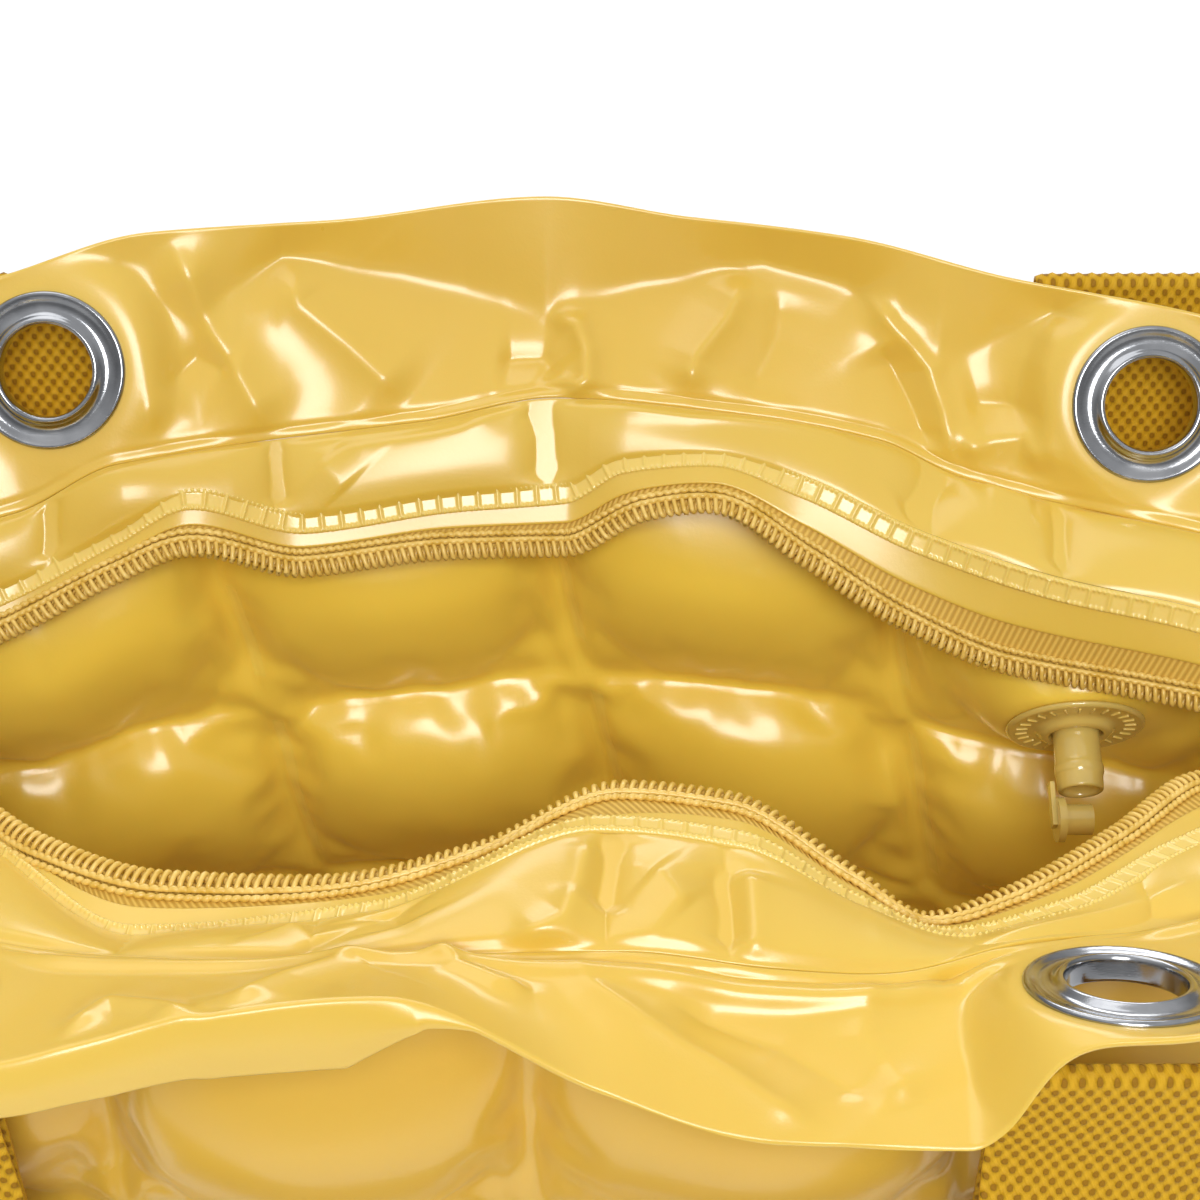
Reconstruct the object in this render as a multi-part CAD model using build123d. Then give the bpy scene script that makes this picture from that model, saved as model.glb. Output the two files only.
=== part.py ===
from build123d import *
import math
import os

# Inflatable tote bag: two quilted walls of air cells, a quilted base, a zipped mouth,
# two film rims with metal eyelets, two flat webbing handles and an inflation valve.
# Millimetres. +X runs along the zip, +Y to the back, +Z up, origin under the base.

# ---- driving dimensions ----
HALF_WIDTH = 212.0          # walls end here, at the side seams
BASE_HALF_WIDTH = 213.0     # superellipse of the walls' centre line at the base
BASE_HALF_DEPTH = 68.0
BASE_POWER = 3.0
WALL_THICK = 26.0           # inflated cells, mean thickness
WALL_FOOT_THICK = 20.0
WELD_THICK = 3.0            # where the two films of a wall are welded together
SEAM_FLANGE = 8.0
SEAM_THICK = 2.0
SEAM_GAP = 0.3
BASE_THICK = 24.0
BASE_GAP = 2.0
FILM = 1.0                  # unsupported film, as modelled
TAPE_THICK = 1.0
TAPE_INSET = 2.6            # from the middle of the teeth to the edge of the tape
RIM_HALF_WIDTH = 204.0
RIM_GAP = 2.0               # the rim starts this far above the weld line
STRIP_GAP = 4.5             # and the zip strip this far inside it
MARK_PITCH = 12.0           # bands and walls share stations at multiples of this
CHAIN_WIDTH = 2.8
CHAIN_HEIGHT = 2.6
CHAIN_CLEAR = 0.8           # half of the slot between the closed chains
ZIP_LEFT = -200.0
ZIP_RIGHT = 150.0
ZIP_SPLIT = -172.0          # the slider stands here, the mouth is open to its right
STRIP_HALF_WIDTH = 194.0
ZIP_LEVEL = 264.0

EYELET_HEIGHT = 0.54        # its place across the rim, from the weld line to the free edge
EYELET_R = 17.0
EYELET_HOLE_R = 10.0
BARREL_WALL = 0.6
BARREL_LENGTH = 5.0
WASHER_R = 15.0
BEAD_R = 0.9
PATCH_R = 19.0              # flat, reinforced ring of film under an eyelet

WEBBING_WIDTH = 50.0
WEBBING_THICK = 2.0
HANDLE_DROP = 190.0
HANDLE_LAP = 1.5            # webbing centre to fold line
BACK_HANDLE_CENTRE = 0.0
BACK_HANDLE_X = 122.0       # centre of the handle to the centre of a leg
BACK_FOLD = (86.0, 331.0)   # y, z of the fold line
BACK_ANCHOR_FOOT = (73.5, 215.0)
FRONT_HANDLE_CENTRE = -18.0
FRONT_HANDLE_X = 110.0
FRONT_FOLD = (-99.0, 276.0)
FRONT_ANCHOR_FOOT = (-91.0, 185.0)

SLIDER_LENGTH = 11.0
SLIDER_WIDTH = 9.2
PLATE_THICK = 1.2
SLIDER_CLEAR = 0.4
EYE_HEIGHT = 3.4            # pull's pin above the slider's top plate
PULL_LENGTH = 17.0
PULL_WIDTH = 6.0
PULL_THICK = 1.2
FORK_LENGTH, FORK_TIP = 7.0, 2.6          # the tip is how far the cheeks run past the pin
FORK_GAP_LENGTH, FORK_GAP_WIDTH = 6.4, 3.0
PULL_PIN_R, PULL_HOLE_R = 0.55, 1.5

VALVE_CENTRE = (107.0, 33.5, 247.0)
VALVE_DIP = 32.0            # the valve points this far below the horizontal
FLANGE_R = 15.5
FLANGE_THICK = 1.2
COLLAR_R = 7.5
COLLAR_DEPTH = 13.0
STEM_R = 5.35
STEM_BORE_R = 3.6
STEM_LENGTH = 16.0
STEM_ROOT = 2.0
STEM_CLEAR = 0.3
PLUG_HEAD_R = 5.0
PLUG_HEAD_THICK = 1.6
PLUG_R = 3.4
PLUG_LENGTH = 7.0
TETHER_WIDTH = 3.0
TETHER_THICK = 1.0
TETHER_LENGTH = 10.0
PLUG_REACH = 8.4            # hinge to the middle of the plug's head

# ---- outlines of the mouth, as (x, y, z) from the left side seam to the right one ----
BACK_WELD = [
    (-214, 2, 276), (-190, 22, 283), (-160, 36, 291), (-128, 48, 294), (-105, 54, 303),
    (-75, 62, 304), (-40, 67, 306), (-10, 69, 311), (30, 67, 308), (62, 64, 303),
    (80, 60, 296), (105, 54, 292), (128, 46, 291), (160, 36, 288), (190, 22, 282),
    (214, 2, 276),
]
BACK_EDGE = [
    (-206, 14, 318), (-185, 42, 327), (-155, 62, 336), (-128, 72, 340), (-98, 80, 346),
    (-60, 88, 345), (-12, 94, 348), (20, 92, 344), (55, 86, 342), (90, 78, 336),
    (128, 70, 332), (155, 60, 328), (185, 40, 322), (206, 14, 314),
]
BACK_LADDER = [
    (-204, 7, 265), (-174, 13, 267), (-160, 22, 274), (-130, 38, 280), (-105, 46, 290),
    (-90, 49, 297), (-65, 52, 289), (-33, 56, 292), (-8, 58, 293), (5, 59, 300),
    (25, 58, 302), (45, 52, 298), (70, 44, 289), (98, 34, 284), (128, 26, 281),
    (165, 12, 272), (204, 7, 268),
]
BACK_CHAIN = [
    (-204, 2.2, 264), (-172, 2.2, 264), (-130, 33, 273), (-105, 39, 284), (-90, 42, 289),
    (-65, 46, 281), (-33, 50, 283), (-8, 51, 283), (10, 50, 293), (25, 48, 296),
    (45, 42, 286), (66, 36, 274), (90, 30, 266), (128, 20, 264), (150, 2.2, 264),
]
FRONT_CHAIN = [
    (-204, -2.2, 264), (-172, -2.2, 264), (-130, -24, 280), (-105, -44, 279),
    (-80, -55, 280), (-50, -57, 281), (-22, -52, 285), (4, -42, 291), (24, -44, 290),
    (46, -54, 281), (60, -60, 275), (75, -54, 275), (100, -34, 273), (120, -14, 270),
    (150, -2.2, 264),
]
FRONT_LADDER = [
    (-204, -7, 265), (-174, -13, 267), (-160, -20, 272), (-122, -36, 275), (-85, -66, 276),
    (-40, -68, 284), (0, -56, 294), (25, -58, 292), (46, -66, 284), (62, -70, 280),
    (85, -62, 279), (110, -42, 276), (150, -18, 272), (204, -7, 268),
]
FRONT_WELD = [
    (-214, -2, 272), (-190, -26, 276), (-160, -46, 280), (-125, -68, 282), (-85, -80, 285),
    (-50, -84, 288), (4, -84, 290), (30, -86, 288), (50, -84, 285), (72, -76, 284),
    (100, -66, 278), (128, -56, 276), (160, -42, 272), (190, -24, 270), (214, -2, 272),
]
FRONT_EDGE = [
    (-206, -18, 266), (-185, -66, 276), (-155, -96, 288), (-128, -112, 295), (-100, -116, 296),
    (-70, -110, 299), (-35, -106, 301), (0, -112, 287), (30, -116, 279), (60, -116, 278),
    (74, -113, 290), (88, -112, 298), (110, -108, 302), (128, -102, 302), (155, -84, 292),
    (185, -56, 278), (206, -18, 266),
]


# ---- helpers ----
def follow(outline, x):
    """Point (y, z) of an outline at x, with smooth slopes that never overshoot."""
    last = len(outline) - 2
    i = max(0, min(last, sum(1 for p in outline[1:] if p[0] <= x)))
    a, b = outline[i], outline[i + 1]
    span = b[0] - a[0]
    t = max(0.0, min(1.0, (x - a[0]) / span))
    before = outline[max(0, i - 1)]
    after = outline[min(len(outline) - 1, i + 2)]
    result = []
    for k in (1, 2):
        here = (b[k] - a[k]) / span
        start = limited_slope(here, slope(before, a, k))
        end = limited_slope(here, slope(b, after, k))
        h1 = t * t * (3 - 2 * t)
        value = a[k] + h1 * (b[k] - a[k])
        value += span * (start * t * (1 - t) ** 2 - end * t * t * (1 - t))
        result.append(value)
    return result


def slope(a, b, k):
    if b[0] == a[0]:
        return None
    return (b[k] - a[k]) / (b[0] - a[0])


def limited_slope(here, beside):
    """Harmonic mean of two slopes of one sign, and zero where the sign turns."""
    if beside is None:
        return here
    if here * beside <= 0:
        return 0.0
    return 2 * here * beside / (here + beside)


def marks(start, end):
    """Both ends and every shared station well between them."""
    first = math.ceil((start + 3) / MARK_PITCH)
    last = math.floor((end - 3) / MARK_PITCH)
    return [start] + [MARK_PITCH * i for i in range(first, last + 1)] + [end]


def section(points):
    return Wire.make_polygon([Vector(*p) for p in points], close=True)


def band(lower, upper, thick, start, end, low_inset=0.0, high_inset=0.0):
    """Flat strip between two outlines, cut square to X at each station."""
    wires = []
    for x in marks(start, end):
        low, high = Vector(*follow(lower, x)), Vector(*follow(upper, x))
        along = (high - low).normalized()
        low = low + along * low_inset
        high = high - along * high_inset
        side = Vector(-along.Y, along.X) * (thick / 2)
        corners = [low - side, high - side, high + side, low + side]
        wires.append(section([(x, c.X, c.Y) for c in corners]))
    return Solid.make_loft(wires, ruled=True)


def base_line(x):
    """Half depth of the walls' centre line at floor level."""
    return BASE_HALF_DEPTH * (1 - min(1.0, abs(x) / BASE_HALF_WIDTH) ** BASE_POWER) ** (1 / BASE_POWER)


# ---- walls and base ----
def wall(weld, side):
    """Inflated wall. side is +1 for the back and -1 for the front."""
    wires = []
    for x in marks(-HALF_WIDTH, HALF_WIDTH):
        top_y, top_z = follow(weld, x)
        levels = [(0.0, WALL_FOOT_THICK), (0.12, WALL_THICK), (0.74, WALL_THICK), (1.0, WELD_THICK)]
        inner, outer = [], []
        for fraction, thick in levels:
            centre = base_line(x) * (1 - fraction) + abs(top_y) * fraction
            centre = max(centre, thick / 2 + SEAM_GAP)
            z = top_z * fraction
            inner.append((x, side * (centre - thick / 2), z))
            outer.append((x, side * (centre + thick / 2), z))
        wires.append(section(inner + outer[::-1]))
    return Solid.make_loft(wires, ruled=True)


def base_panel():
    inset = WALL_THICK / 2 + BASE_GAP
    half = HALF_WIDTH - 22
    edge = [(x, base_line(x) - inset) for x in marks(-half, half)]
    outline = edge + [(x, -y) for x, y in reversed(edge)]
    return extrude(make_face(Polyline(*outline, close=True)), amount=BASE_THICK)


def side_seam(side):
    x = side * (HALF_WIDTH + SEAM_GAP + SEAM_FLANGE / 2)
    return Pos(x, 0, 139) * Box(SEAM_FLANGE, SEAM_THICK, 262)


# ---- zip ----
def chain(outline, side):
    """One row of coil teeth, from the left end of the zip to the right end."""
    wires = []
    for x in marks(ZIP_LEFT, ZIP_RIGHT):
        y, z = follow(outline, x)
        inner = y - side * (CHAIN_WIDTH / 2)
        outer = y + side * (CHAIN_WIDTH / 2)
        low, high = z - CHAIN_HEIGHT / 2, z + CHAIN_HEIGHT / 2
        wires.append(section([(x, inner, low), (x, outer, low), (x, outer, high), (x, inner, high)]))
    return Solid.make_loft(wires, ruled=True)


def slider():
    x = ZIP_SPLIT - SLIDER_LENGTH / 2
    gap = CHAIN_HEIGHT / 2 + SLIDER_CLEAR
    plate = Box(SLIDER_LENGTH, SLIDER_WIDTH, PLATE_THICK)
    plate = fillet(plate.edges().filter_by(Axis.Z), 2.0)
    offset = gap + PLATE_THICK / 2
    web = Box(4.0, 2 * (CHAIN_CLEAR - SLIDER_CLEAR), 2 * offset)
    body = Pos(0, 0, offset) * plate + Pos(0, 0, -offset) * plate + Pos(3, 0, 0) * web
    eye_z = offset + PLATE_THICK / 2 + EYE_HEIGHT
    lug_height = EYE_HEIGHT + 1.6
    lug = Pos(0, 0, eye_z + 1.3 - lug_height / 2) * Box(2.8, 2.0, lug_height)
    eye = Pos(0, 0, eye_z) * Rot(90, 0, 0) * Cylinder(0.9, 6)
    return Pos(x, 0, ZIP_LEVEL) * (body + lug - eye)


def slider_eye():
    z = ZIP_LEVEL + CHAIN_HEIGHT / 2 + SLIDER_CLEAR + PLATE_THICK + EYE_HEIGHT
    return ZIP_SPLIT - SLIDER_LENGTH / 2, z


def pull():
    """Forked pull tab lying along the closed end of the zip, its pin through the slider's eye."""
    x, z = slider_eye()
    fork = Pos(FORK_TIP - FORK_LENGTH / 2, 0, 0) * Box(FORK_LENGTH, PULL_WIDTH, PULL_THICK)
    gap = Pos(FORK_TIP + 0.9 - FORK_GAP_LENGTH / 2, 0, 0) * Box(FORK_GAP_LENGTH, FORK_GAP_WIDTH, 4)
    pin = Rot(90, 0, 0) * Cylinder(PULL_PIN_R, PULL_WIDTH - 1)
    bar_start = FORK_TIP - FORK_LENGTH + 0.2
    bar = Pos(bar_start - PULL_LENGTH / 2, 0, 0) * Box(PULL_LENGTH, PULL_WIDTH, PULL_THICK)
    bar = fillet(bar.edges().filter_by(Axis.Z), 1.4)
    hole = Pos(bar_start - PULL_LENGTH + 4, 0, 0) * Cylinder(PULL_HOLE_R, 4)
    tab = fork - gap + bar - hole + pin
    return Pos(x, 0, z) * tab


def end_tab(start, length, width):
    tab = Box(length, width, FILM)
    tab = fillet(tab.edges().filter_by(Axis.Z), width / 2 - 0.5)
    z = ZIP_LEVEL - CHAIN_HEIGHT / 2 - FILM / 2 - 0.6
    return Pos(start + length / 2, 0, z) * tab


def end_stop(x):
    return Pos(x, 0, ZIP_LEVEL) * Box(2.4, 6.0, 3.4)


# ---- rims and eyelets ----
def rim_frame(weld, edge, x):
    """Plane of an eyelet on a rim: its normal points to the face that shows the eyelet."""
    low, high = Vector(*follow(weld, x)), Vector(*follow(edge, x))
    along = (high - low).normalized()
    middle = low + (high - low) * EYELET_HEIGHT
    normal = Vector(0, -along.Y, along.X)
    if normal.Z < 0:
        normal = normal * -1
    return Plane(origin=(x, middle.X, middle.Y), x_dir=(1, 0, 0), z_dir=normal)


def rim(weld, edge, eyelet_places):
    film = band(weld, edge, FILM, -RIM_HALF_WIDTH, RIM_HALF_WIDTH, low_inset=RIM_GAP)
    for x in eyelet_places:
        place = rim_frame(weld, edge, x)
        patch = Cylinder(PATCH_R, FILM)
        film = film - place * Cylinder(PATCH_R - 0.8, 14)
        film = film + place * patch
        film = film - place * Cylinder(EYELET_HOLE_R + BARREL_WALL + 0.05, 14)
    return film


def eyelet(place):
    """Rolled flange on the show face and a barrel through the film."""
    face = FILM / 2 + 0.05
    outer = EYELET_HOLE_R + BARREL_WALL
    barrel = Pos(0, 0, face + 1.2 - BARREL_LENGTH / 2) * (
        Cylinder(outer, BARREL_LENGTH) - Cylinder(EYELET_HOLE_R, BARREL_LENGTH)
    )
    flange = Pos(0, 0, face + 0.4) * (Cylinder(EYELET_R - BEAD_R, 0.8) - Cylinder(EYELET_HOLE_R, 0.8))
    bead = Pos(0, 0, face + BEAD_R) * Torus(EYELET_R - BEAD_R, BEAD_R)
    return place * (barrel + flange + bead)


def washer(place):
    face = -FILM / 2 - 0.05
    inner = EYELET_HOLE_R + BARREL_WALL + 0.05
    return place * Pos(0, 0, face - 0.5) * (Cylinder(WASHER_R, 1.0) - Cylinder(inner, 1.0))


# ---- handles ----
def handle_anchor(foot, fold, outward, x):
    """Leg of webbing, sewn to the wall's outside and standing up to the fold line."""
    top_y = fold[0] - outward * HANDLE_LAP
    low, high = Vector(foot[0], foot[1]), Vector(top_y, fold[1] - 0.5)
    along = (high - low).normalized()
    side = Vector(-along.Y, along.X) * (WEBBING_THICK / 2)
    corners = [low - side, high - side, high + side, low + side]
    wires = []
    for edge_x in (x - WEBBING_WIDTH / 2, x + WEBBING_WIDTH / 2):
        wires.append(section([(edge_x, c.X, c.Y) for c in corners]))
    return Solid.make_loft(wires, ruled=True)


def handle_point(half_span, t):
    """Centre line of the hanging loop in its own plane. t runs from -1 to 1."""
    corner = 0.45
    along = abs(t)
    if along > corner:
        s = (1 - along) / (1 - corner)
        x = half_span - 0.26 * half_span * s * s
        drop = s * (HANDLE_DROP - 0.74 * half_span)
    else:
        angle = math.pi / 2 * (along / corner)
        x = 0.74 * half_span * math.sin(angle)
        drop = HANDLE_DROP - 0.74 * half_span * (1 - math.cos(angle))
    return math.copysign(x, t), drop


def handle(middle, half_span, fold, outward):
    """Flat webbing that turns a quarter on each side, so that it bends the easy way."""
    wires = []
    count = 36
    for i in range(count + 1):
        t = -1 + 2 * i / count
        x, drop = handle_point(half_span, t)
        ahead = handle_point(half_span, min(1.0, t + 0.01))
        behind = handle_point(half_span, max(-1.0, t - 0.01))
        run = Vector(ahead[0] - behind[0], 0, behind[1] - ahead[1]).normalized()
        flat = max(0.0, min(1.0, (abs(t) - 0.5) / 0.42))
        turn = (flat * flat * (3 - 2 * flat)) * math.pi / 2
        across_loop = Vector(0, 1, 0)
        in_loop = run.cross(across_loop)
        wide = across_loop * math.cos(turn) + in_loop * (math.sin(turn) * math.copysign(1, t) * -1)
        if t < 0:
            wide = across_loop * math.cos(turn) + in_loop * math.sin(turn)
        thin = run.cross(wide)
        out = HANDLE_LAP + (WEBBING_WIDTH / 2 + 0.5) * math.cos(turn)
        centre = Vector(middle + x, fold[0] + outward * out, fold[1] - 0.5 - drop)
        half_w, half_t = wide * (WEBBING_WIDTH / 2), thin * (WEBBING_THICK / 2)
        corners = [centre - half_w - half_t, centre + half_w - half_t,
                   centre + half_w + half_t, centre - half_w + half_t]
        wires.append(Wire.make_polygon(corners, close=True))
    return Solid.make_loft(wires, ruled=True)


# ---- valve ----
def valve_plane():
    dip = math.radians(VALVE_DIP)
    return Plane(origin=VALVE_CENTRE, x_dir=(1, 0, 0), z_dir=(0, -math.cos(dip), -math.sin(dip)))


def tube(radius, bore, low, high):
    length = high - low
    return Pos(0, 0, (low + high) / 2) * (Cylinder(radius, length) - Cylinder(bore, length))


def valve_flange():
    disc = tube(FLANGE_R, STEM_R + STEM_CLEAR, 0, FLANGE_THICK)
    collar = tube(COLLAR_R, STEM_R + STEM_CLEAR, -COLLAR_DEPTH, FLANGE_THICK)
    return valve_plane() * (disc + collar)


def valve_flap():
    return valve_plane() * Pos(0, 0, -COLLAR_DEPTH - 0.7) * Cylinder(COLLAR_R - 0.5, 0.8)


def valve_stem():
    return valve_plane() * tube(STEM_R, STEM_BORE_R, -STEM_ROOT, STEM_LENGTH)


def plug_hinge():
    """Point beside the stem's lip, on the side where the tether hangs."""
    return Vector(-STEM_R - 1.2, 0, STEM_LENGTH - 2.0)


def tether():
    """Short strap from the stem's lip to the plug's head."""
    hinge = plug_hinge()
    strap = Box(TETHER_THICK, TETHER_WIDTH, TETHER_LENGTH)
    return valve_plane() * Pos(hinge.X, 0, hinge.Z + TETHER_LENGTH / 2) * strap


def plug():
    """Plug hanging open beyond the stem, its stub towards the stem's axis."""
    hinge = plug_hinge()
    head_x = hinge.X + TETHER_THICK / 2 + PLUG_HEAD_THICK / 2
    head = Rot(0, 90, 0) * Cylinder(PLUG_HEAD_R, PLUG_HEAD_THICK)
    stub = Pos(PLUG_LENGTH / 2, 0, 0) * Rot(0, 90, 0) * Cylinder(PLUG_R, PLUG_LENGTH)
    return valve_plane() * Pos(head_x, 0, hinge.Z + PLUG_REACH) * (head + stub)


# ---- build and write ----
BACK_EYELET_PLACES = (-120.0, 120.0)
FRONT_EYELET_PLACES = (-118.0, 88.0)

parts = {}
pocket = valve_plane() * Pos(0, 0, -10) * Cylinder(COLLAR_R + 0.2, 20)
parts["back_wall"] = wall(BACK_WELD, 1) - pocket
parts["front_wall"] = wall(FRONT_WELD, -1)
parts["base_panel"] = base_panel()
parts["left_side_seam"] = side_seam(-1)
parts["right_side_seam"] = side_seam(1)

for name, weld, ladder, teeth, side in (
    ("back", BACK_WELD, BACK_LADDER, BACK_CHAIN, 1),
    ("front", FRONT_WELD, FRONT_LADDER, FRONT_CHAIN, -1),
):
    parts[name + "_zip_strip"] = band(
        ladder, weld, FILM, -STRIP_HALF_WIDTH, STRIP_HALF_WIDTH,
        low_inset=SEAM_GAP, high_inset=STRIP_GAP
    )
    parts[name + "_zip_tape"] = band(
        teeth, ladder, TAPE_THICK, ZIP_LEFT, ZIP_RIGHT,
        low_inset=TAPE_INSET, high_inset=SEAM_GAP
    )
    parts[name + "_zip_chain"] = chain(teeth, side)

parts["left_zip_end_tab"] = end_tab(ZIP_LEFT - 5, 9, 8)
parts["right_zip_end_tab"] = end_tab(ZIP_RIGHT - 6, 44, 14)
parts["zip_top_stop"] = end_stop(ZIP_LEFT - 1.4)
parts["zip_bottom_stop"] = end_stop(ZIP_RIGHT + 1.4)

for name, weld, edge, places in (
    ("back", BACK_WELD, BACK_EDGE, BACK_EYELET_PLACES),
    ("front", FRONT_WELD, FRONT_EDGE, FRONT_EYELET_PLACES),
):
    parts[name + "_rim"] = rim(weld, edge, places)
    for hand, x in zip(("left", "right"), places):
        place = rim_frame(weld, edge, x)
        parts[f"{name}_{hand}_eyelet"] = eyelet(place)
        parts[f"{name}_{hand}_eyelet_washer"] = washer(place)

for name, middle, half_span, fold, foot, outward in (
    ("back", BACK_HANDLE_CENTRE, BACK_HANDLE_X, BACK_FOLD, BACK_ANCHOR_FOOT, 1),
    ("front", FRONT_HANDLE_CENTRE, FRONT_HANDLE_X, FRONT_FOLD, FRONT_ANCHOR_FOOT, -1),
):
    legs = [handle_anchor(foot, fold, outward, middle + side * half_span) for side in (-1, 1)]
    parts[name + "_handle_anchors"] = Compound(children=legs)
    parts[name + "_handle"] = handle(middle, half_span, fold, outward)

parts["zip_slider"] = slider()
parts["zip_pull"] = pull()
parts["valve_flange"] = valve_flange()
parts["valve_flap"] = valve_flap()
parts["valve_stem"] = valve_stem()
parts["valve_plug"] = plug()
parts["valve_tether"] = tether()

os.makedirs("parts", exist_ok=True)
for node, shape in parts.items():
    export_step(shape, f"parts/{node}.step")
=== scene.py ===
import math

import bpy
import numpy as np
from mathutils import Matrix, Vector


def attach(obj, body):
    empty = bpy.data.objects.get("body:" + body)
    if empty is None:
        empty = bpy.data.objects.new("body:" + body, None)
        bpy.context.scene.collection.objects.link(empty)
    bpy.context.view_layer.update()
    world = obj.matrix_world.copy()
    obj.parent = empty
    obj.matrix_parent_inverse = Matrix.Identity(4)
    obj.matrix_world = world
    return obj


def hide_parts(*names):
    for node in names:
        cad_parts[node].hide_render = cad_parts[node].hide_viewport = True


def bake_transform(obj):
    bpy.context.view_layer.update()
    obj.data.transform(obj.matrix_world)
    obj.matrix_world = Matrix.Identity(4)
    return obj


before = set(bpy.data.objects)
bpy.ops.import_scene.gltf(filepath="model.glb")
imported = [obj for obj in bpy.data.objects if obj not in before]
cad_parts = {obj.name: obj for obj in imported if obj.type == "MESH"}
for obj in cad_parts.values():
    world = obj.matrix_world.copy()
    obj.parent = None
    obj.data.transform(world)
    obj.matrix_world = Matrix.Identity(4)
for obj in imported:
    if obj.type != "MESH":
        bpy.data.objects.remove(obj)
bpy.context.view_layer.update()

# Inflatable tote bag: quilted air-cell walls and base, film strips and rims, coil zip,
# eyelets, webbing handles and a clear valve. Lengths below are in metres unless a name ends in _MM.

MM = 0.001

# ---- driving dimensions, the same as the frame's ----
COLUMNS, ROWS = 6, 5
CELL_WIDTH, CELL_HEIGHT = 0.075, 0.060
HALF_WIDTH = 0.2135
BASE_HALF_DEPTH = 0.068
BASE_POWER = 3.0
FOOT_Z = 0.010
ZIP_LEFT, ZIP_RIGHT = -0.200, 0.150
STRIP_HALF_WIDTH = 0.202
RIM_HALF_WIDTH = 0.204
TOOTH_PITCH, COIL_WIRE_R = 0.00176, 0.00052
EYELET_HEIGHT = 0.54                     # share of a rim's height
EYELET_CUT_R, EYELET_FLAT = 0.0125, (0.0180, 0.0280)
BACK_EYELETS, FRONT_EYELETS = (-0.120, 0.120), (-0.118, 0.088)
RIM_FILM, STRIP_FILM, TAPE_CLOTH = 0.0009, 0.0007, 0.0008
WEBBING_WIDTH, WEBBING_THICK = 0.050, 0.0020
WEAVE_ACROSS, WEAVE_ALONG = 0.00290, 0.00370    # two yarns each way
HANDLE_DROP, HANDLE_LAP = 0.190, 0.0015
BACK_HANDLE_X, BACK_FOLD, BACK_FOOT = 0.122, (0.086, 0.331), (0.0735, 0.215)
FRONT_HANDLE_X, FRONT_FOLD, FRONT_FOOT = 0.110, (-0.099, 0.276), (-0.091, 0.185)
FRONT_HANDLE_CENTRE = -0.018
VALVE_CENTRE = (0.107, 0.0335, 0.247)
VALVE_DIP = math.radians(32)

# ---- outlines of the mouth in millimetres, (x, y, z) from the left seam to the right one ----
BACK_WELD_MM = [
    (-214, 2, 276), (-190, 22, 283), (-160, 36, 291), (-128, 48, 294), (-105, 54, 303),
    (-75, 62, 304), (-40, 67, 306), (-10, 69, 311), (30, 67, 308), (62, 64, 303),
    (80, 60, 296), (105, 54, 292), (128, 46, 291), (160, 36, 288), (190, 22, 282),
    (214, 2, 276),
]
BACK_EDGE_MM = [
    (-206, 14, 318), (-185, 42, 327), (-155, 62, 336), (-128, 72, 340), (-98, 80, 346),
    (-60, 88, 345), (-12, 94, 348), (20, 92, 344), (55, 86, 342), (90, 78, 336),
    (128, 70, 332), (155, 60, 328), (185, 40, 322), (206, 14, 314),
]
BACK_LADDER_MM = [
    (-204, 7, 265), (-174, 13, 267), (-160, 22, 274), (-130, 38, 280), (-105, 46, 290),
    (-90, 49, 297), (-65, 52, 289), (-33, 56, 292), (-8, 58, 293), (5, 59, 300),
    (25, 58, 302), (45, 52, 298), (70, 44, 289), (98, 34, 284), (128, 26, 281),
    (165, 12, 272), (204, 7, 268),
]
BACK_CHAIN_MM = [
    (-204, 2.2, 264), (-172, 2.2, 264), (-130, 33, 273), (-105, 39, 284), (-90, 42, 289),
    (-65, 46, 281), (-33, 50, 283), (-8, 51, 283), (10, 50, 293), (25, 48, 296),
    (45, 42, 286), (66, 36, 274), (90, 30, 266), (128, 20, 264), (150, 2.2, 264),
]
FRONT_CHAIN_MM = [
    (-204, -2.2, 264), (-172, -2.2, 264), (-130, -24, 280), (-105, -44, 279),
    (-80, -55, 280), (-50, -57, 281), (-22, -52, 285), (4, -42, 291), (24, -44, 290),
    (46, -54, 281), (60, -60, 275), (75, -54, 275), (100, -34, 273), (120, -14, 270),
    (150, -2.2, 264),
]
FRONT_LADDER_MM = [
    (-204, -7, 265), (-174, -13, 267), (-160, -20, 272), (-122, -36, 275), (-85, -66, 276),
    (-40, -68, 284), (0, -56, 294), (25, -58, 292), (46, -66, 284), (62, -70, 280),
    (85, -62, 279), (110, -42, 276), (150, -18, 272), (204, -7, 268),
]
FRONT_WELD_MM = [
    (-214, -2, 272), (-190, -26, 276), (-160, -46, 280), (-125, -68, 282), (-85, -80, 285),
    (-50, -84, 288), (4, -84, 290), (30, -86, 288), (50, -84, 285), (72, -76, 284),
    (100, -66, 278), (128, -56, 276), (160, -42, 272), (190, -24, 270), (214, -2, 272),
]
FRONT_EDGE_MM = [
    (-206, -18, 266), (-185, -66, 276), (-155, -96, 288), (-128, -112, 295), (-100, -116, 296),
    (-70, -110, 299), (-35, -106, 301), (0, -112, 287), (30, -116, 279), (60, -116, 278),
    (74, -113, 290), (88, -112, 298), (110, -108, 302), (128, -102, 302), (155, -84, 292),
    (185, -56, 278), (206, -18, 266),
]


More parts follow.
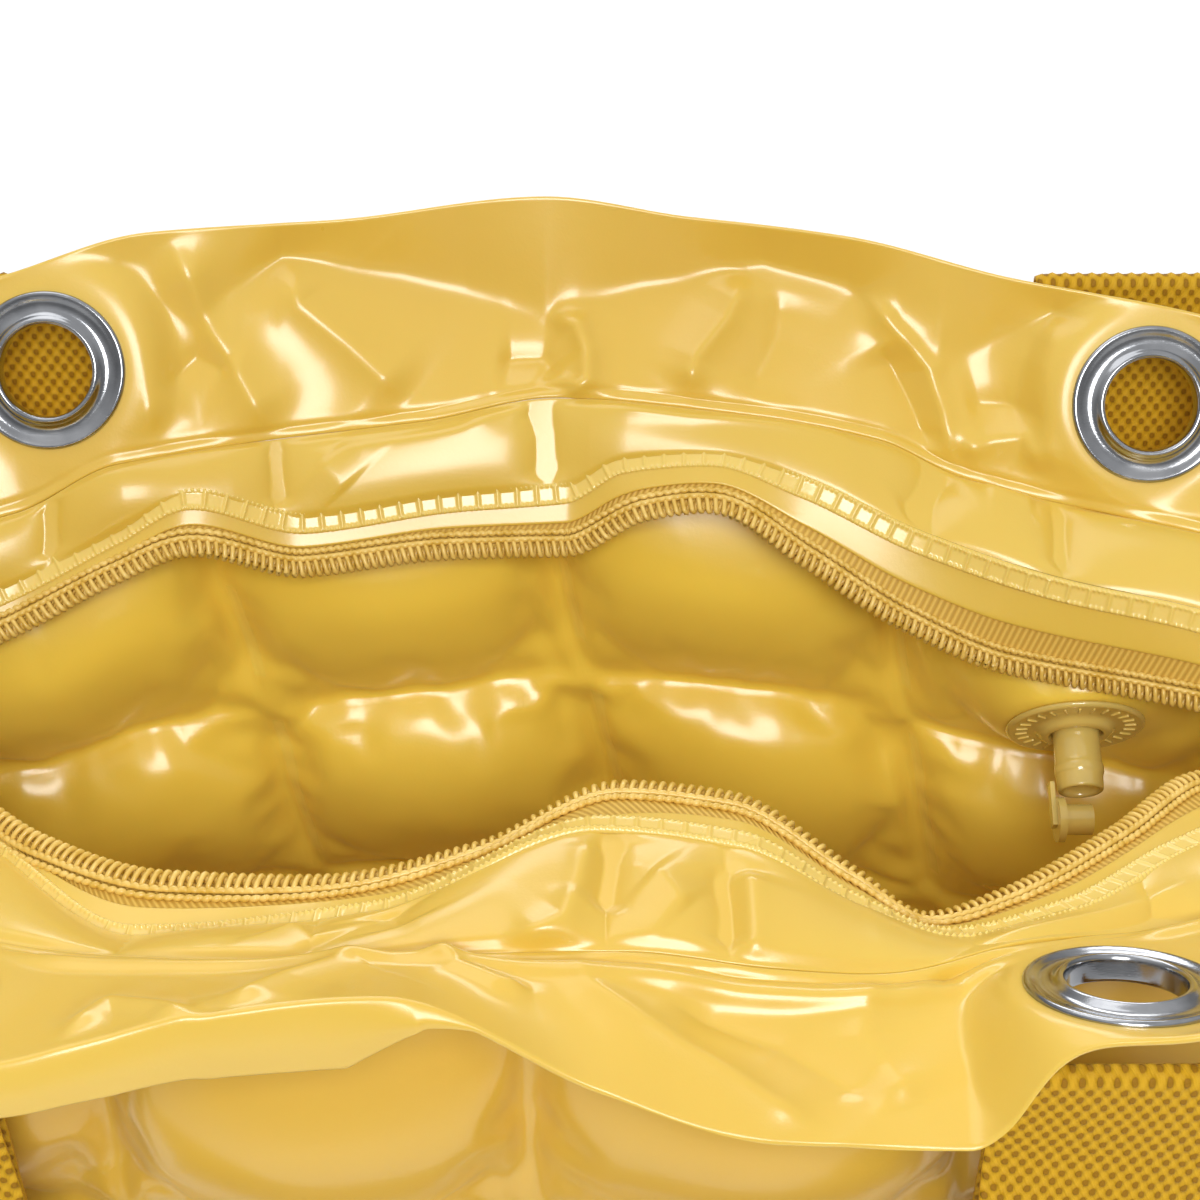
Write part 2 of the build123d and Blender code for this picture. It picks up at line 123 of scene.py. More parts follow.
# ---- curves and grids ----
def follow(outline_mm, x):
    """Points (n, 3) in metres of an outline at the given x, smooth and without overshoot."""
    knots = np.array(outline_mm, float) * MM
    x = np.atleast_1d(np.asarray(x, float))
    i = np.clip(np.searchsorted(knots[:, 0], x, side="right") - 1, 0, len(knots) - 2)
    span = np.diff(knots[:, 0])
    t = np.clip((x - knots[i, 0]) / span[i], 0, 1)
    columns = [x]
    for k in (1, 2):
        slope = np.diff(knots[:, k]) / span
        product = slope[:-1] * slope[1:]
        total = np.where(slope[:-1] + slope[1:] == 0, 1, slope[:-1] + slope[1:])
        inner = np.where(product > 0, 2 * product / total, 0)
        tangent = np.concatenate([[slope[0]], inner, [slope[-1]]])
        value = knots[i, k] + t * t * (3 - 2 * t) * (knots[i + 1, k] - knots[i, k])
        value += span[i] * (tangent[i] * t * (1 - t) ** 2 - tangent[i + 1] * t * t * (1 - t))
        columns.append(value)
    return np.stack(columns, axis=-1)


def unit(v):
    return v / np.maximum(np.linalg.norm(v, axis=-1, keepdims=True), 1e-12)


def grid_normals(points):
    """Unit normals of a grid of points, row direction cross column direction."""
    along = np.gradient(points, axis=1)
    across = np.gradient(points, axis=0)
    return unit(np.cross(along, across))


def smoothstep(low, high, value):
    t = np.clip((value - low) / (high - low), 0, 1)
    return t * t * (3 - 2 * t)


def run_length(points):
    """Distance along a path at each of its points."""
    return np.concatenate([[0], np.cumsum(np.linalg.norm(np.diff(points, axis=0), axis=1))])


def at_length(points, length, place):
    """Points of a path at the given distances along it."""
    return np.stack([np.interp(place, length, points[:, k]) for k in range(3)], -1)


def path_axes(centre, target):
    """Directions across a path towards a second one, and up from both."""
    along = unit(np.gradient(centre, axis=0))
    toward = target - centre
    across = unit(toward - along * (toward * along).sum(-1, keepdims=True))
    up = np.cross(along, across)
    return across, up * np.sign(up[:, 2:3])


def ring_faces(rows, sides):
    """Faces between rings of points, with the rings' indices and those one place round."""
    index = np.arange(rows * sides).reshape(rows, sides)
    after = np.roll(index, -1, axis=1)
    return np.stack([index[:-1], after[:-1], after[1:], index[1:]], -1).reshape(-1, 4), index, after


def arc_samples(outline_mm, start, end, step):
    """x values along an outline, evenly spaced along its length."""
    dense = np.linspace(start, end, 2000)
    points = follow(outline_mm, dense)
    length = run_length(points)
    count = max(2, int(round(length[-1] / step)))
    wanted = np.linspace(0, length[-1], count + 1)
    return np.interp(wanted, length, dense), length[-1]


def make_object(name, points, faces, material, uv=None, smooth=True):
    mesh = bpy.data.meshes.new(name)
    points = np.asarray(points, float).reshape(-1, 3).tolist()
    mesh.from_pydata(points, [], [list(f) for f in faces])
    mesh.update()
    if uv is not None:
        layer = mesh.uv_layers.new(name="UVMap")
        loops = np.empty(len(mesh.loops), np.int32)
        mesh.loops.foreach_get("vertex_index", loops)
        layer.data.foreach_set("uv", np.asarray(uv, np.float32).reshape(-1, 2)[loops].ravel())
    if smooth:
        mesh.polygons.foreach_set("use_smooth", np.ones(len(mesh.polygons), bool))
    mesh.materials.append(material)
    obj = bpy.data.objects.new(name, mesh)
    bpy.context.scene.collection.objects.link(obj)
    return obj


def grid_faces(rows, columns):
    index = np.arange(rows * columns).reshape(rows, columns)
    corners = index[:-1, :-1], index[:-1, 1:], index[1:, 1:], index[1:, :-1]
    return np.stack(corners, -1).reshape(-1, 4)


def sandwich(name, top, bottom, material, uv=None, gone=None):
    """Closed mesh from two grids of one size, bridged round every open edge. gone marks points
    whose faces are left out, for a hole."""
    rows, columns = top.shape[:2]
    count = rows * columns
    quads = grid_faces(rows, columns)
    if gone is not None:
        quads = quads[~gone.ravel()[quads].any(axis=1)]
    start, end = quads.ravel(), np.roll(quads, -1, axis=1).ravel()
    open_edge = ~np.isin(start * count + end, end * count + start)
    a, b = start[open_edge], end[open_edge]
    sides = np.stack([b, a, a + count, b + count], -1)
    faces = np.concatenate([quads, quads[:, ::-1] + count, sides])
    points = np.concatenate([top.reshape(-1, 3), bottom.reshape(-1, 3)])
    used, faces = np.unique(faces, return_inverse=True)
    both = None if uv is None else np.concatenate([uv.reshape(-1, 2)] * 2)[used]
    return make_object(name, points[used], faces.reshape(-1, 4), material, both)


def film(name, surface, thickness, material, gone=None):
    """A sheet of film: a smooth closed mesh of the given thickness round a grid of points."""
    half = grid_normals(surface) * thickness / 2
    piece = sandwich(name, surface + half, surface - half, material, gone=gone)
    subdivide(piece)
    return piece


def subdivide(piece):
    modifier = piece.modifiers.new("smooth", "SUBSURF")
    modifier.levels = modifier.render_levels = 1


def relax(surface, pinned, growth, pressure, frames, bending):
    """Cloth simulation of one sheet, which grows by a share of its size and is blown along its
    normals."""
    rows, columns = surface.shape[:2]
    start = bpy.context.scene.frame_current
    sheet = make_object("relaxing", surface, grid_faces(rows, columns), materials["film"])
    group = sheet.vertex_groups.new(name="pin")
    weights = np.asarray(pinned, float).ravel()
    for weight in np.unique(weights[weights > 0]):
        group.add(np.flatnonzero(weights == weight).tolist(), float(weight), "REPLACE")
    cloth = sheet.modifiers.new("cloth", "CLOTH")
    settings = cloth.settings
    chosen = dict(
        vertex_group_mass="pin", quality=5, mass=0.15, tension_stiffness=60,
        compression_stiffness=20, shear_stiffness=10, bending_stiffness=bending,
        bending_damping=0.5, air_damping=2, use_pressure=True,
        uniform_pressure_force=pressure, shrink_min=-growth, shrink_max=-growth)
    for key, value in chosen.items():
        setattr(settings, key, value)
    settings.effector_weights.gravity = 0
    cloth.collision_settings.use_collision = False
    cloth.point_cache.frame_end = frames
    for number in range(1, frames + 1):
        bpy.context.scene.frame_set(number)
    done = sheet.evaluated_get(bpy.context.evaluated_depsgraph_get())
    result = np.empty(rows * columns * 3, np.float32)
    done.data.vertices.foreach_get("co", result)
    mesh = sheet.data
    bpy.data.objects.remove(sheet)
    bpy.data.meshes.remove(mesh)
    bpy.context.scene.frame_set(start)
    return result.reshape(surface.shape).astype(float)


def soften(surface, amount):
    """One pass of Laplacian smoothing over a grid, borders kept."""
    middle = (surface[:-2, 1:-1] + surface[2:, 1:-1] + surface[1:-1, :-2] + surface[1:-1, 2:]) / 4
    result = surface.copy()
    result[1:-1, 1:-1] += amount * (middle - result[1:-1, 1:-1])
    return result


# ---- materials ----
def new_material(name, colour, roughness, **extra):
    material = bpy.data.materials.new(name)
    material.use_nodes = True
    shader = material.node_tree.nodes["Principled BSDF"]
    shader.inputs["Base Color"].default_value = (*colour, 1)
    shader.inputs["Roughness"].default_value = roughness
    for socket, value in extra.items():
        shader.inputs[socket.replace("_", " ")].default_value = value
    return material


class Nodes:
    """Short names for building a node tree that ends at one shader."""

    def __init__(self, owner, shader="Principled BSDF"):
        self.owner = owner
        self.tree = owner.node_tree
        self.shader = self.tree.nodes[shader]

    def add(self, kind, **settings):
        node = self.tree.nodes.new(kind)
        for key, value in settings.items():
            setattr(node, key, value)
        return node

    def link(self, source, target):
        self.tree.links.new(source, target)

    def math(self, operation, *values):
        node = self.add("ShaderNodeMath", operation=operation)
        for socket, value in zip(node.inputs, values):
            if isinstance(value, (int, float)):
                socket.default_value = value
            else:
                self.link(value, socket)
        return node.outputs[0]

    def wave(self, phase):
        """Sine of a phase counted in whole turns."""
        return self.math("SINE", self.math("MULTIPLY", phase, math.tau))

    def noise(self, scale, detail=2.0, vector=None, distortion=0.0):
        node = self.add("ShaderNodeTexNoise")
        node.inputs["Scale"].default_value = scale
        node.inputs["Detail"].default_value = detail
        node.inputs["Distortion"].default_value = distortion
        if vector is None:
            vector = self.add("ShaderNodeTexCoord").outputs["Object"]
        self.link(vector, node.inputs["Vector"])
        return node.outputs["Fac"]

    def colour(self, factor, *stops, socket="Base Color"):
        """The shader's colour, through a ramp of (place, colour)."""
        node = self.add("ShaderNodeValToRGB")
        elements = node.color_ramp.elements
        while len(elements) < len(stops):
            elements.new(0.5)
        for element, (place, colour) in zip(elements, stops):
            element.position = place
            element.color = (*colour, 1)
        self.link(factor, node.inputs["Fac"])
        self.link(node.outputs["Color"], self.shader.inputs[socket])

    def bump(self, height, distance, strength, after=None):
        """The shader's relief, on top of an earlier one."""
        node = self.add("ShaderNodeBump")
        node.inputs["Strength"].default_value = strength
        node.inputs["Distance"].default_value = distance
        self.link(height, node.inputs["Height"])
        if after is not None:
            self.link(after, node.inputs["Normal"])
        self.link(node.outputs["Normal"], self.shader.inputs["Normal"])
        return node.outputs["Normal"]

    def roughness(self, factor, low, high):
        node = self.add("ShaderNodeMapRange")
        node.inputs["To Min"].default_value = low
        node.inputs["To Max"].default_value = high
        self.link(factor, node.inputs["Value"])
        self.link(node.outputs["Result"], self.shader.inputs["Roughness"])


def film_material(name, pale, deep, rough=0.30):
    """Soft PVC film: satin, a little cloudy, with fine ripple and faint handling marks."""
    n = Nodes(new_material(
        name, pale, rough, IOR=1.48, Sheen_Weight=0.05, Coat_Weight=0.5, Coat_Roughness=0.17,
        Subsurface_Weight=0.12, Subsurface_Radius=(0.006, 0.003, 0.001), Subsurface_Scale=0.4))
    n.colour(n.noise(9.0, 3.0), (0.30, deep), (0.66, pale))
    n.roughness(n.noise(26.0, 3.0), rough - 0.07, rough + 0.09)
    ripple = n.bump(n.noise(70.0, distortion=0.6), 0.0006, 0.16)
    n.bump(n.noise(1500.0), 0.00006, 0.35, after=ripple)
    return n.owner


def uv_phases(n, pitch_u, pitch_v):
    """Phases across and along a band, whose UVs are in metres."""
    split = n.add("ShaderNodeSeparateXYZ")
    n.link(n.add("ShaderNodeTexCoord").outputs["UV"], split.inputs[0])
    return (n.math("MULTIPLY", split.outputs["X"], 1 / pitch_u),
            n.math("MULTIPLY", split.outputs["Y"], 1 / pitch_v))


def webbing_material():
    """Coarse plain-weave webbing: fat yarn humps in a chequer, with painted shade darkening the
    gaps between them.
    """
    n = Nodes(new_material("webbing", (0.52, 0.27, 0.018), 0.62, Specular_IOR_Level=0.2,
                           Sheen_Weight=0.03, Sheen_Roughness=0.4))
    wobble = n.math("MULTIPLY", n.math("SUBTRACT", n.noise(260.0), 0.5), 0.22)
    u, v = (n.math("ADD", phase, wobble) for phase in uv_phases(n, WEAVE_ACROSS, WEAVE_ALONG))
    chequer = n.math("MULTIPLY", n.wave(u), n.wave(v))
    raised = n.math("MAXIMUM", n.math("MULTIPLY", n.math("ADD", chequer, 0.50), 0.667), 0.0)
    height = n.math("POWER", raised, 0.6)
    twist = n.wave(n.math("ADD", n.math("MULTIPLY", u, 5.0), n.math("MULTIPLY", v, 3.0)))
    fibres = n.math("ADD", height, n.math("MULTIPLY", twist, 0.04))
    # Painted shade: the colour follows the weave's height, darkest down in the gaps and lightest on
    # the hump tops.
    n.colour(height, (0.02, (0.32, 0.155, 0.005)), (0.34, (0.54, 0.295, 0.009)),
             (0.92, (0.66, 0.380, 0.016)))
    n.bump(fibres, 0.0005, 0.9)
    return n.owner


def tape_material():
    """Fine twill zip tape: slanting ribs, with painted shade darkening the grooves between them."""
    n = Nodes(new_material("zip_tape", (0.66, 0.40, 0.06), 0.6))
    rib = n.wave(n.math("ADD", *uv_phases(n, 0.00095, 0.00140)))
    height = n.math("ADD", n.math("MULTIPLY", rib, 0.5), 0.5)
    # Painted shade: the colour follows the rib height, darker in the grooves.
    n.colour(height, (0.0, (0.50, 0.28, 0.030)), (0.8, (0.72, 0.46, 0.080)))
    n.bump(height, 0.00022, 0.9)
    return n.owner


def nickel_material():
    """Nickel-plated eyelet: bright, with fine handling scratches and a little cloudiness."""
    n = Nodes(new_material("nickel", (0.60, 0.61, 0.63), 0.10, Metallic=1.0))
    haze = n.noise(90.0, 4.0)
    stretched = n.add("ShaderNodeMapping")
    stretched.inputs["Scale"].default_value = (1.0, 14.0, 14.0)
    n.link(n.add("ShaderNodeTexCoord").outputs["Object"], stretched.inputs["Vector"])
    scratch = n.noise(240.0, 5.0, vector=stretched.outputs["Vector"])
    n.roughness(n.math("MULTIPLY", haze, n.math("ADD", scratch, 0.4)), 0.04, 0.34)
    n.bump(scratch, 0.00004, 0.35)
    n.colour(haze, (0.3, (0.30, 0.31, 0.33)), (0.7, (0.48, 0.49, 0.51)))
    return n.owner


def enamel_material():
    """Painted zip metal with lighter worn spots."""
    n = Nodes(new_material("zip_enamel", (0.60, 0.34, 0.03), 0.32, Metallic=0.25))
    wear = n.noise(600.0, 4.0)
    n.colour(wear, (0.35, (0.52, 0.29, 0.02)), (0.70, (0.72, 0.47, 0.08)))
    n.roughness(wear, 0.25, 0.45)
    n.bump(wear, 0.00005, 0.4)
    return n.owner


def teeth_material():
    """Moulded nylon coil."""
    n = Nodes(new_material("nylon_coil", (0.76, 0.50, 0.10), 0.30, IOR=1.53))
    n.colour(n.noise(300.0), (0.3, (0.66, 0.41, 0.06)), (0.7, (0.83, 0.58, 0.16)))
    n.bump(n.noise(2500.0), 0.00003, 0.3)
    return n.owner


def clear_material():
    """Clear tinted soft PVC of the valve."""
    n = Nodes(new_material("clear_pvc", (0.97, 0.74, 0.20), 0.12, IOR=1.50,
                           Transmission_Weight=0.40, Coat_Weight=0.5, Coat_Roughness=0.08))
    n.roughness(n.noise(200.0, 3.0), 0.08, 0.22)
    n.bump(n.noise(500.0), 0.00008, 0.25)
    return n.owner


materials = {
    "cells": film_material("cell_film", (0.74, 0.470, 0.060), (0.69, 0.415, 0.044)),
    # inner: the inside faces of walls and base are coloured paler than the outside cells; this is
    # painted light, standing in for light that shines through the translucent film
    "inner": film_material("inner_cell_film_painted_light", (0.93, 0.665, 0.090), (0.89, 0.605, 0.068)),
    "film": film_material("rim_film", (0.76, 0.515, 0.080), (0.70, 0.450, 0.058)),
    "weld": film_material("welded_film", (0.84, 0.610, 0.150), (0.78, 0.540, 0.115), 0.24),
    # seam: the inside seam strips carry the same paler painted light as the inner film
    "seam": film_material("seam_film_painted_light", (0.93, 0.700, 0.120), (0.90, 0.640, 0.090), 0.20),
    "webbing": webbing_material(),
    "tape": tape_material(),
    "nickel": nickel_material(),
    "enamel": enamel_material(),
    "teeth": teeth_material(),
    "clear": clear_material(),
}


# ---- quilted cells ----
CELL_STEPS_X, CELL_STEPS_Y = 28, 22
QUILT_COLUMNS, QUILT_ROWS = COLUMNS * CELL_STEPS_X + 1, ROWS * CELL_STEPS_Y + 1
ROW_SHARES = (0, 0.20, 0.38, 0.57, 0.755, 1)    # levels of the welds up a wall
FLATTENED_ROWS = 13                             # grid rows under the zip strips
WELD_GAP = 3                                    # grid steps that a weld stops short of a crossing
CELL_FILM = 0.0004                              # half of the thinnest place in a wall


def quilt():
    """One face of a quilted panel, lying flat: an inflated sheet held along its weld lines."""
    x = np.linspace(0, COLUMNS * CELL_WIDTH, QUILT_COLUMNS)
    y = np.linspace(0, ROWS * CELL_HEIGHT, QUILT_ROWS)
    flat = np.stack([*np.meshgrid(x, y), np.zeros((QUILT_ROWS, QUILT_COLUMNS))], -1)
    i, j = np.meshgrid(np.arange(QUILT_COLUMNS), np.arange(QUILT_ROWS))
    to_row = np.minimum(j % CELL_STEPS_Y, CELL_STEPS_Y - j % CELL_STEPS_Y)
    to_column = np.minimum(i % CELL_STEPS_X, CELL_STEPS_X - i % CELL_STEPS_X)
    upright = ((to_column == 0) | (i % CELL_STEPS_X == 1)) & (to_row > WELD_GAP)
    level = (to_row == 0) & (to_column > WELD_GAP)
    rim = (i == 0) | (i == QUILT_COLUMNS - 1) | (j == 0) | (j == QUILT_ROWS - 1)
    held = upright | level | rim
    random = np.random.default_rng(4)
    a, b = (flat[..., 0] % CELL_WIDTH) / CELL_WIDTH, (flat[..., 1] % CELL_HEIGHT) / CELL_HEIGHT
    dome = np.sin(np.pi * a) * np.sin(np.pi * b)
    height = 0.010 * dome + random.uniform(-3e-5, 3e-5, a.shape)
    flat[..., 2] = np.where(held, 0, height)
    blown = relax(flat, held, growth=0.05, pressure=40, frames=22, bending=0.6)
    peak = 0.0165
    fullness = np.clip(blown[..., 2] * 1.16 / peak, 0, None) ** 0.72
    blown[..., 2] = np.where(held, 0, peak * fullness)
    return soften(blown, 0.4)


def base_line(x):
    """Half depth of the base at x: a rounded rectangle."""
    ratio = np.minimum(1, np.abs(x) / HALF_WIDTH)
    return BASE_HALF_DEPTH * (1 - ratio ** BASE_POWER) ** (1 / BASE_POWER)


def row_share(j):
    """Height share of a quilt row, with the welds at their levels."""
    return np.interp(j / CELL_STEPS_Y, range(ROWS + 1), ROW_SHARES)


def wall_surface(weld_mm, side):
    """Mid surface of a wall on the quilt's grid, its columns evenly spaced along each level."""
    x = np.linspace(-HALF_WIDTH, HALF_WIDTH, 1200)
    top = follow(weld_mm, x)
    rows = []
    for share in row_share(np.arange(QUILT_ROWS)):
        y = side * base_line(x) * (1 - share) + top[:, 1] * share
        z = FOOT_Z + (top[:, 2] - FOOT_Z) * share
        level = np.stack([x, y, z], -1)
        length = run_length(level)
        u = np.linspace(0, 1, QUILT_COLUMNS)
        lean = 0.0594 * share - 0.042 if side > 0 else 0.010
        u = u - np.sin(np.pi * u) * lean * smoothstep(0.25, 0.6, share) / (COLUMNS * CELL_WIDTH)
        rows.append(at_length(level, length, u * length[-1]))
    return np.array(rows)


def quilted(surface, face, outward):
    """Lays one quilted face over a surface. outward is +1 or -1 along the grid's normal."""
    normal = grid_normals(surface)
    along = np.gradient(surface, axis=1) / (CELL_WIDTH / CELL_STEPS_X)
    up = np.gradient(surface, axis=0) / (CELL_HEIGHT / CELL_STEPS_Y)
    rows, columns = surface.shape[:2]
    flat_x = np.arange(columns) * CELL_WIDTH / CELL_STEPS_X
    flat_y = np.arange(rows) * CELL_HEIGHT / CELL_STEPS_Y
    dx = face[..., 0] - flat_x[None, :]
    dy = face[..., 1] - flat_y[:, None]
    lift = face[..., 2] + CELL_FILM
    laid = surface + along * dx[..., None] + up * dy[..., None]
    return laid + normal * (outward * lift)[..., None]


def mirrored(face):
    """The same quilted face turned end for end, for variety between faces."""
    result = face[:, ::-1].copy()
    result[..., 0] = result[..., 0].max() - result[..., 0]
    return result


VALVE_AXES = (
    (1.0, 0.0, 0.0),
    (0.0, -math.sin(VALVE_DIP), math.cos(VALVE_DIP)),
    (0.0, -math.cos(VALVE_DIP), -math.sin(VALVE_DIP)),
)


def seat_valve(face):
    """Brings the wall's inner film up to the back of the valve's disc, which is welded to it."""
    across, up, out = (np.array(axis) for axis in VALVE_AXES)
    away = face - np.array(VALVE_CENTRE)
    distance = np.hypot(away @ across, away @ up)
    near = (1 - smoothstep(0.0150, 0.0290, distance)) * (np.abs(away @ out) < 0.030)
    return face - out * ((away @ out + 0.0002) * near)[..., None]


def build_walls(face):
    """Both walls. Their cells flatten over the last rows, to stay under the zip strips."""
    face = face.copy()
    to_top = QUILT_ROWS - 1 - np.arange(QUILT_ROWS)
    face[..., 2] *= (0.15 + 0.85 * smoothstep(0, FLATTENED_ROWS, to_top))[:, None]
    turned = mirrored(face)
    for name, weld_mm, side in (("back", BACK_WELD_MM, 1), ("front", FRONT_WELD_MM, -1)):
        surface = wall_surface(weld_mm, side)
        outer = quilted(surface, turned if side < 0 else face, -side)
        inner = quilted(surface, turned if side > 0 else face, side)
        if side > 0:
            inner = seat_valve(inner)
        top, bottom = (inner, outer) if side > 0 else (outer, inner)
        wall = sandwich(f"{name}_quilted_wall", top, bottom, materials["cells"])
        mark_seams(wall, QUILT_ROWS, QUILT_COLUMNS, side > 0)
        subdivide(wall)
        keep(wall, "cells", f"{name}_wall")


def mark_seams(piece, rows, columns, inside_first):
    """Gives a quilted piece its inside face in a paler film, painted light for the light that
    shines through the translucent walls, with smoother upright weld lines in the same paler,
    painted-light tone.
    """
    piece.data.materials.append(materials["seam"])
    piece.data.materials.append(materials["inner"])
    row, column = np.divmod(np.arange((rows - 1) * (columns - 1)), columns - 1)
    to_row = np.minimum(row % CELL_STEPS_Y, CELL_STEPS_Y - row % CELL_STEPS_Y)
    below_strip = row < (rows - 1) - CELL_STEPS_Y // 2
    seam = (column % CELL_STEPS_X == 0) & (to_row > 2) & below_strip
    index = np.zeros(len(piece.data.polygons), np.int32)
    first, second = (2, 0) if inside_first else (0, 2)
    index[: len(seam)] = np.where(seam & inside_first, 1, first)
    index[len(seam): 2 * len(seam)] = np.where(seam & (not inside_first), 1, second)
    piece.data.polygons.foreach_set("material_index", index)


def build_base(face):
    """Base panel: two rows of cells between the walls' lower welds, flat where it stands."""
    rows = 2 * CELL_STEPS_Y + 1
    face = face[:rows]
    u = np.linspace(-1, 1, QUILT_COLUMNS)
    x = u * (HALF_WIDTH - 0.004)
    depth = base_line(x) - 0.0015
    v = np.linspace(-1, 1, rows)
    surface = np.stack([
        np.broadcast_to(x, (rows, QUILT_COLUMNS)),
        v[:, None] * depth[None, :],
        np.full((rows, QUILT_COLUMNS), 0.0105),
    ], -1)
    top = quilted(surface, face, 1)
    bottom = quilted(surface, mirrored(face), -1)
    for part in (top, bottom):
        over = np.maximum(part[..., 2] - 0.018, 0)
        part[..., 2] = np.maximum(part[..., 2] - over + 0.0058 * np.tanh(over / 0.0058), 0.0003)
        half = np.maximum(base_line(part[..., 0]) - 0.0010, 0.001)
        part[..., 1] = np.clip(part[..., 1], -half, half)
    base = sandwich("quilted_base", top, bottom, materials["cells"])
    mark_seams(base, rows, QUILT_COLUMNS, True)
    subdivide(base)
    keep(base, "cells", "base_panel")


def build_side_seams():
    """Welded lips where the two walls meet at each side."""
    top, width = 0.271, 0.0075
    out, z = np.meshgrid(np.linspace(0, width, 7), np.linspace(FOOT_Z, top, 90))
    ripple = 0.0007 * np.sin(z * 260) + 0.0005 * np.sin(z * 610 + 1)
    for name, side in (("left", -1), ("right", 1)):
        points = np.stack([side * (HALF_WIDTH - 0.0005 + out), ripple * (out / width), z], -1)
        seam = film(f"{name}_seam_lip", points, RIM_FILM, materials["weld"])
        keep(seam, "cells", f"{name}_side_seam")


# ---- folds in loose film ----
def add_folds(lift, x, s, height, folds):
    """Adds soft ridges and valleys to a lift map. A fold is (path, reach mm, rise mm), and its path
    is made of (x mm, share of the band's height)."""
    for path, reach, rise in folds:
        points = np.array([(px * MM, share * height) for px, share in path])
        nearest, place = np.full(lift.shape, np.inf), np.zeros(lift.shape)
        lengths = np.linalg.norm(np.diff(points, axis=0), axis=1)
        done = 0.0
        for start, step, length in zip(points, np.diff(points, axis=0), lengths):
            dx, ds = x - start[0], s - start[1]
            t = np.clip((dx * step[0] + ds * step[1]) / length ** 2, 0, 1)
            distance = np.hypot(dx - t * step[0], ds - t * step[1])
            closer = distance < nearest
            nearest = np.where(closer, distance, nearest)
            place = np.where(closer, (done + t * length) / lengths.sum(), place)
            done += length
        crest = 0.0009
        taper = smoothstep(0, 0.22, place) * (1 - smoothstep(0.80, 1, place))
        profile = np.exp(-(np.sqrt(nearest ** 2 + crest ** 2) - crest) / (reach * MM))
        lift += rise * MM * (0.12 + 0.88 * taper) * profile
    return lift


def band_grid(low_mm, high_mm, x_low, x_high, shares):
    """Points between two outlines at the given shares of the way; shares may run past 1."""
    low, high = follow(low_mm, x_low), follow(high_mm, x_high)
    v = np.asarray(shares)[:, None, None]
    return low * (1 - v) + high * v


def between_seams(x, seams):
    """0 on each seam and 1 midway between two."""
    seams = np.array(seams) * MM
    i = np.clip(np.searchsorted(seams, x) - 1, 0, len(seams) - 2)
    t = np.clip((x - seams[i]) / (seams[i + 1] - seams[i]), 0, 1)
    return np.sin(np.pi * t)


# ---- rims ----
# (x mm, share of the height, depth mm) of the long dent across the back rim
BACK_SHELF = [
    (-204, 0.6, 2), (-160, 0.6, 3), (-125, 0.75, 2), (-104, 0.81, 3.5), (-88, 0.58, 4.5),
    (-80, 0.72, 4), (-70, 0.86, 4.5), (-44, 0.72, 5.5), (-30, 0.60, 6), (-12, 0.41, 5.5),
    (9, 0.63, 6), (36, 0.82, 5), (55, 0.76, 5.5), (66, 0.62, 5.5), (75, 0.47, 4.5),
    (86, 0.68, 4.5), (99, 0.88, 3.5), (125, 0.80, 2.5), (160, 0.6, 3), (204, 0.6, 2),
]
BACK_RIM_FOLDS = [
    ([(-105, 0.9), (-105, 0.72), (-101, 0.5), (-99, 0.28), (-98, 0.08)], 4, 2.4),
    ([(-94, 0.98), (-89, 0.74), (-85, 0.53), (-79, 0.3), (-72, 0.0)], 6, 3.2),
    ([(-70, 0.86), (-66, 0.62), (-56, 0.42), (-42, 0.1)], 7, 3.4),
    ([(-96, 0.3), (-88, 0.42), (-80, 0.32)], 4, -1.6),
    ([(-12, 0.42), (-5, 0.38), (-3, 0.24), (-3, 0.1), (-8, -0.04)], 3.2, 2.8),
    ([(-24, 0.22), (-13, 0.2), (-9, 0.1)], 4, -2.2),
    ([(33, 0.76), (28, 0.5), (21, 0.27), (19, 0.05)], 5, 3.0),
    ([(40, 0.7), (39, 0.42), (33, 0.1)], 5, -1.2),
    ([(57, 0.76), (65, 0.6), (73, 0.46), (76, 0.28), (78, 0.04)], 5, 3.6),
    ([(62, 0.5), (69, 0.26), (74, 0.06)], 5, -2.4),
    ([(102, 0.9), (98, 0.62), (99, 0.37), (101, 0.1)], 4, 2.4),
    ([(79, 0.1), (87, 0.22), (94, 0.28), (98, 0.12)], 3, 1.8),
    ([(80, 0.34), (90, 0.4), (99, 0.38)], 4, -1.8),
    ([(-160, 0.9), (-154, 0.5), (-160, 0.1)], 7, 3.0),
    ([(150, 0.9), (156, 0.5), (150, 0.1)], 7, 3.0),
    ([(182, 0.8), (178, 0.1)], 5, -2.0),
    ([(-185, 0.8), (-180, 0.1)], 5, -2.0),
]
FRONT_RIM_FOLDS = [
    ([(-6, 0.06), (-2, 0.3), (7, 0.5), (20, 0.66), (38, 0.98)], 6, 2.0),
    ([(-29, 0.12), (-24, 0.34), (-17, 0.46), (-11, 0.44)], 3, 1.8),
    ([(-34, 0.2), (-42, 0.26), (-52, 0.6), (-60, 0.98)], 5, 2.0),
    ([(-86, 0.95), (-80, 0.64), (-70, 0.84), (-64, 1.04)], 3, 1.6),
    ([(57, 0.02), (64, 0.16), (74, 0.3)], 4, -1.6),
    ([(10, 0.3), (30, 0.45), (48, 0.8)], 9, -2.4),
    ([(46, 0.02), (44, 0.4), (52, 0.8)], 8, 1.8),
    ([(-150, 0.1), (-146, 0.9)], 7, 2.4),
    ([(-175, 0.1), (-180, 0.9)], 6, -2.0),
    ([(126, 0.1), (132, 0.9)], 7, 2.4),
    ([(160, 0.1), (156, 0.9)], 6, -2.0),
]
# (x mm, hang mm) of the limp margin that hangs from the front rim's fold
FRONT_HANG = [(-206, 2), (-150, 7), (-110, 9), (-84, 10), (-74, 11), (-64, 12), (-50, 13),
              (-41, 13), (-34, 8), (-28, 3), (-20, 0.5), (206, 0.5)]


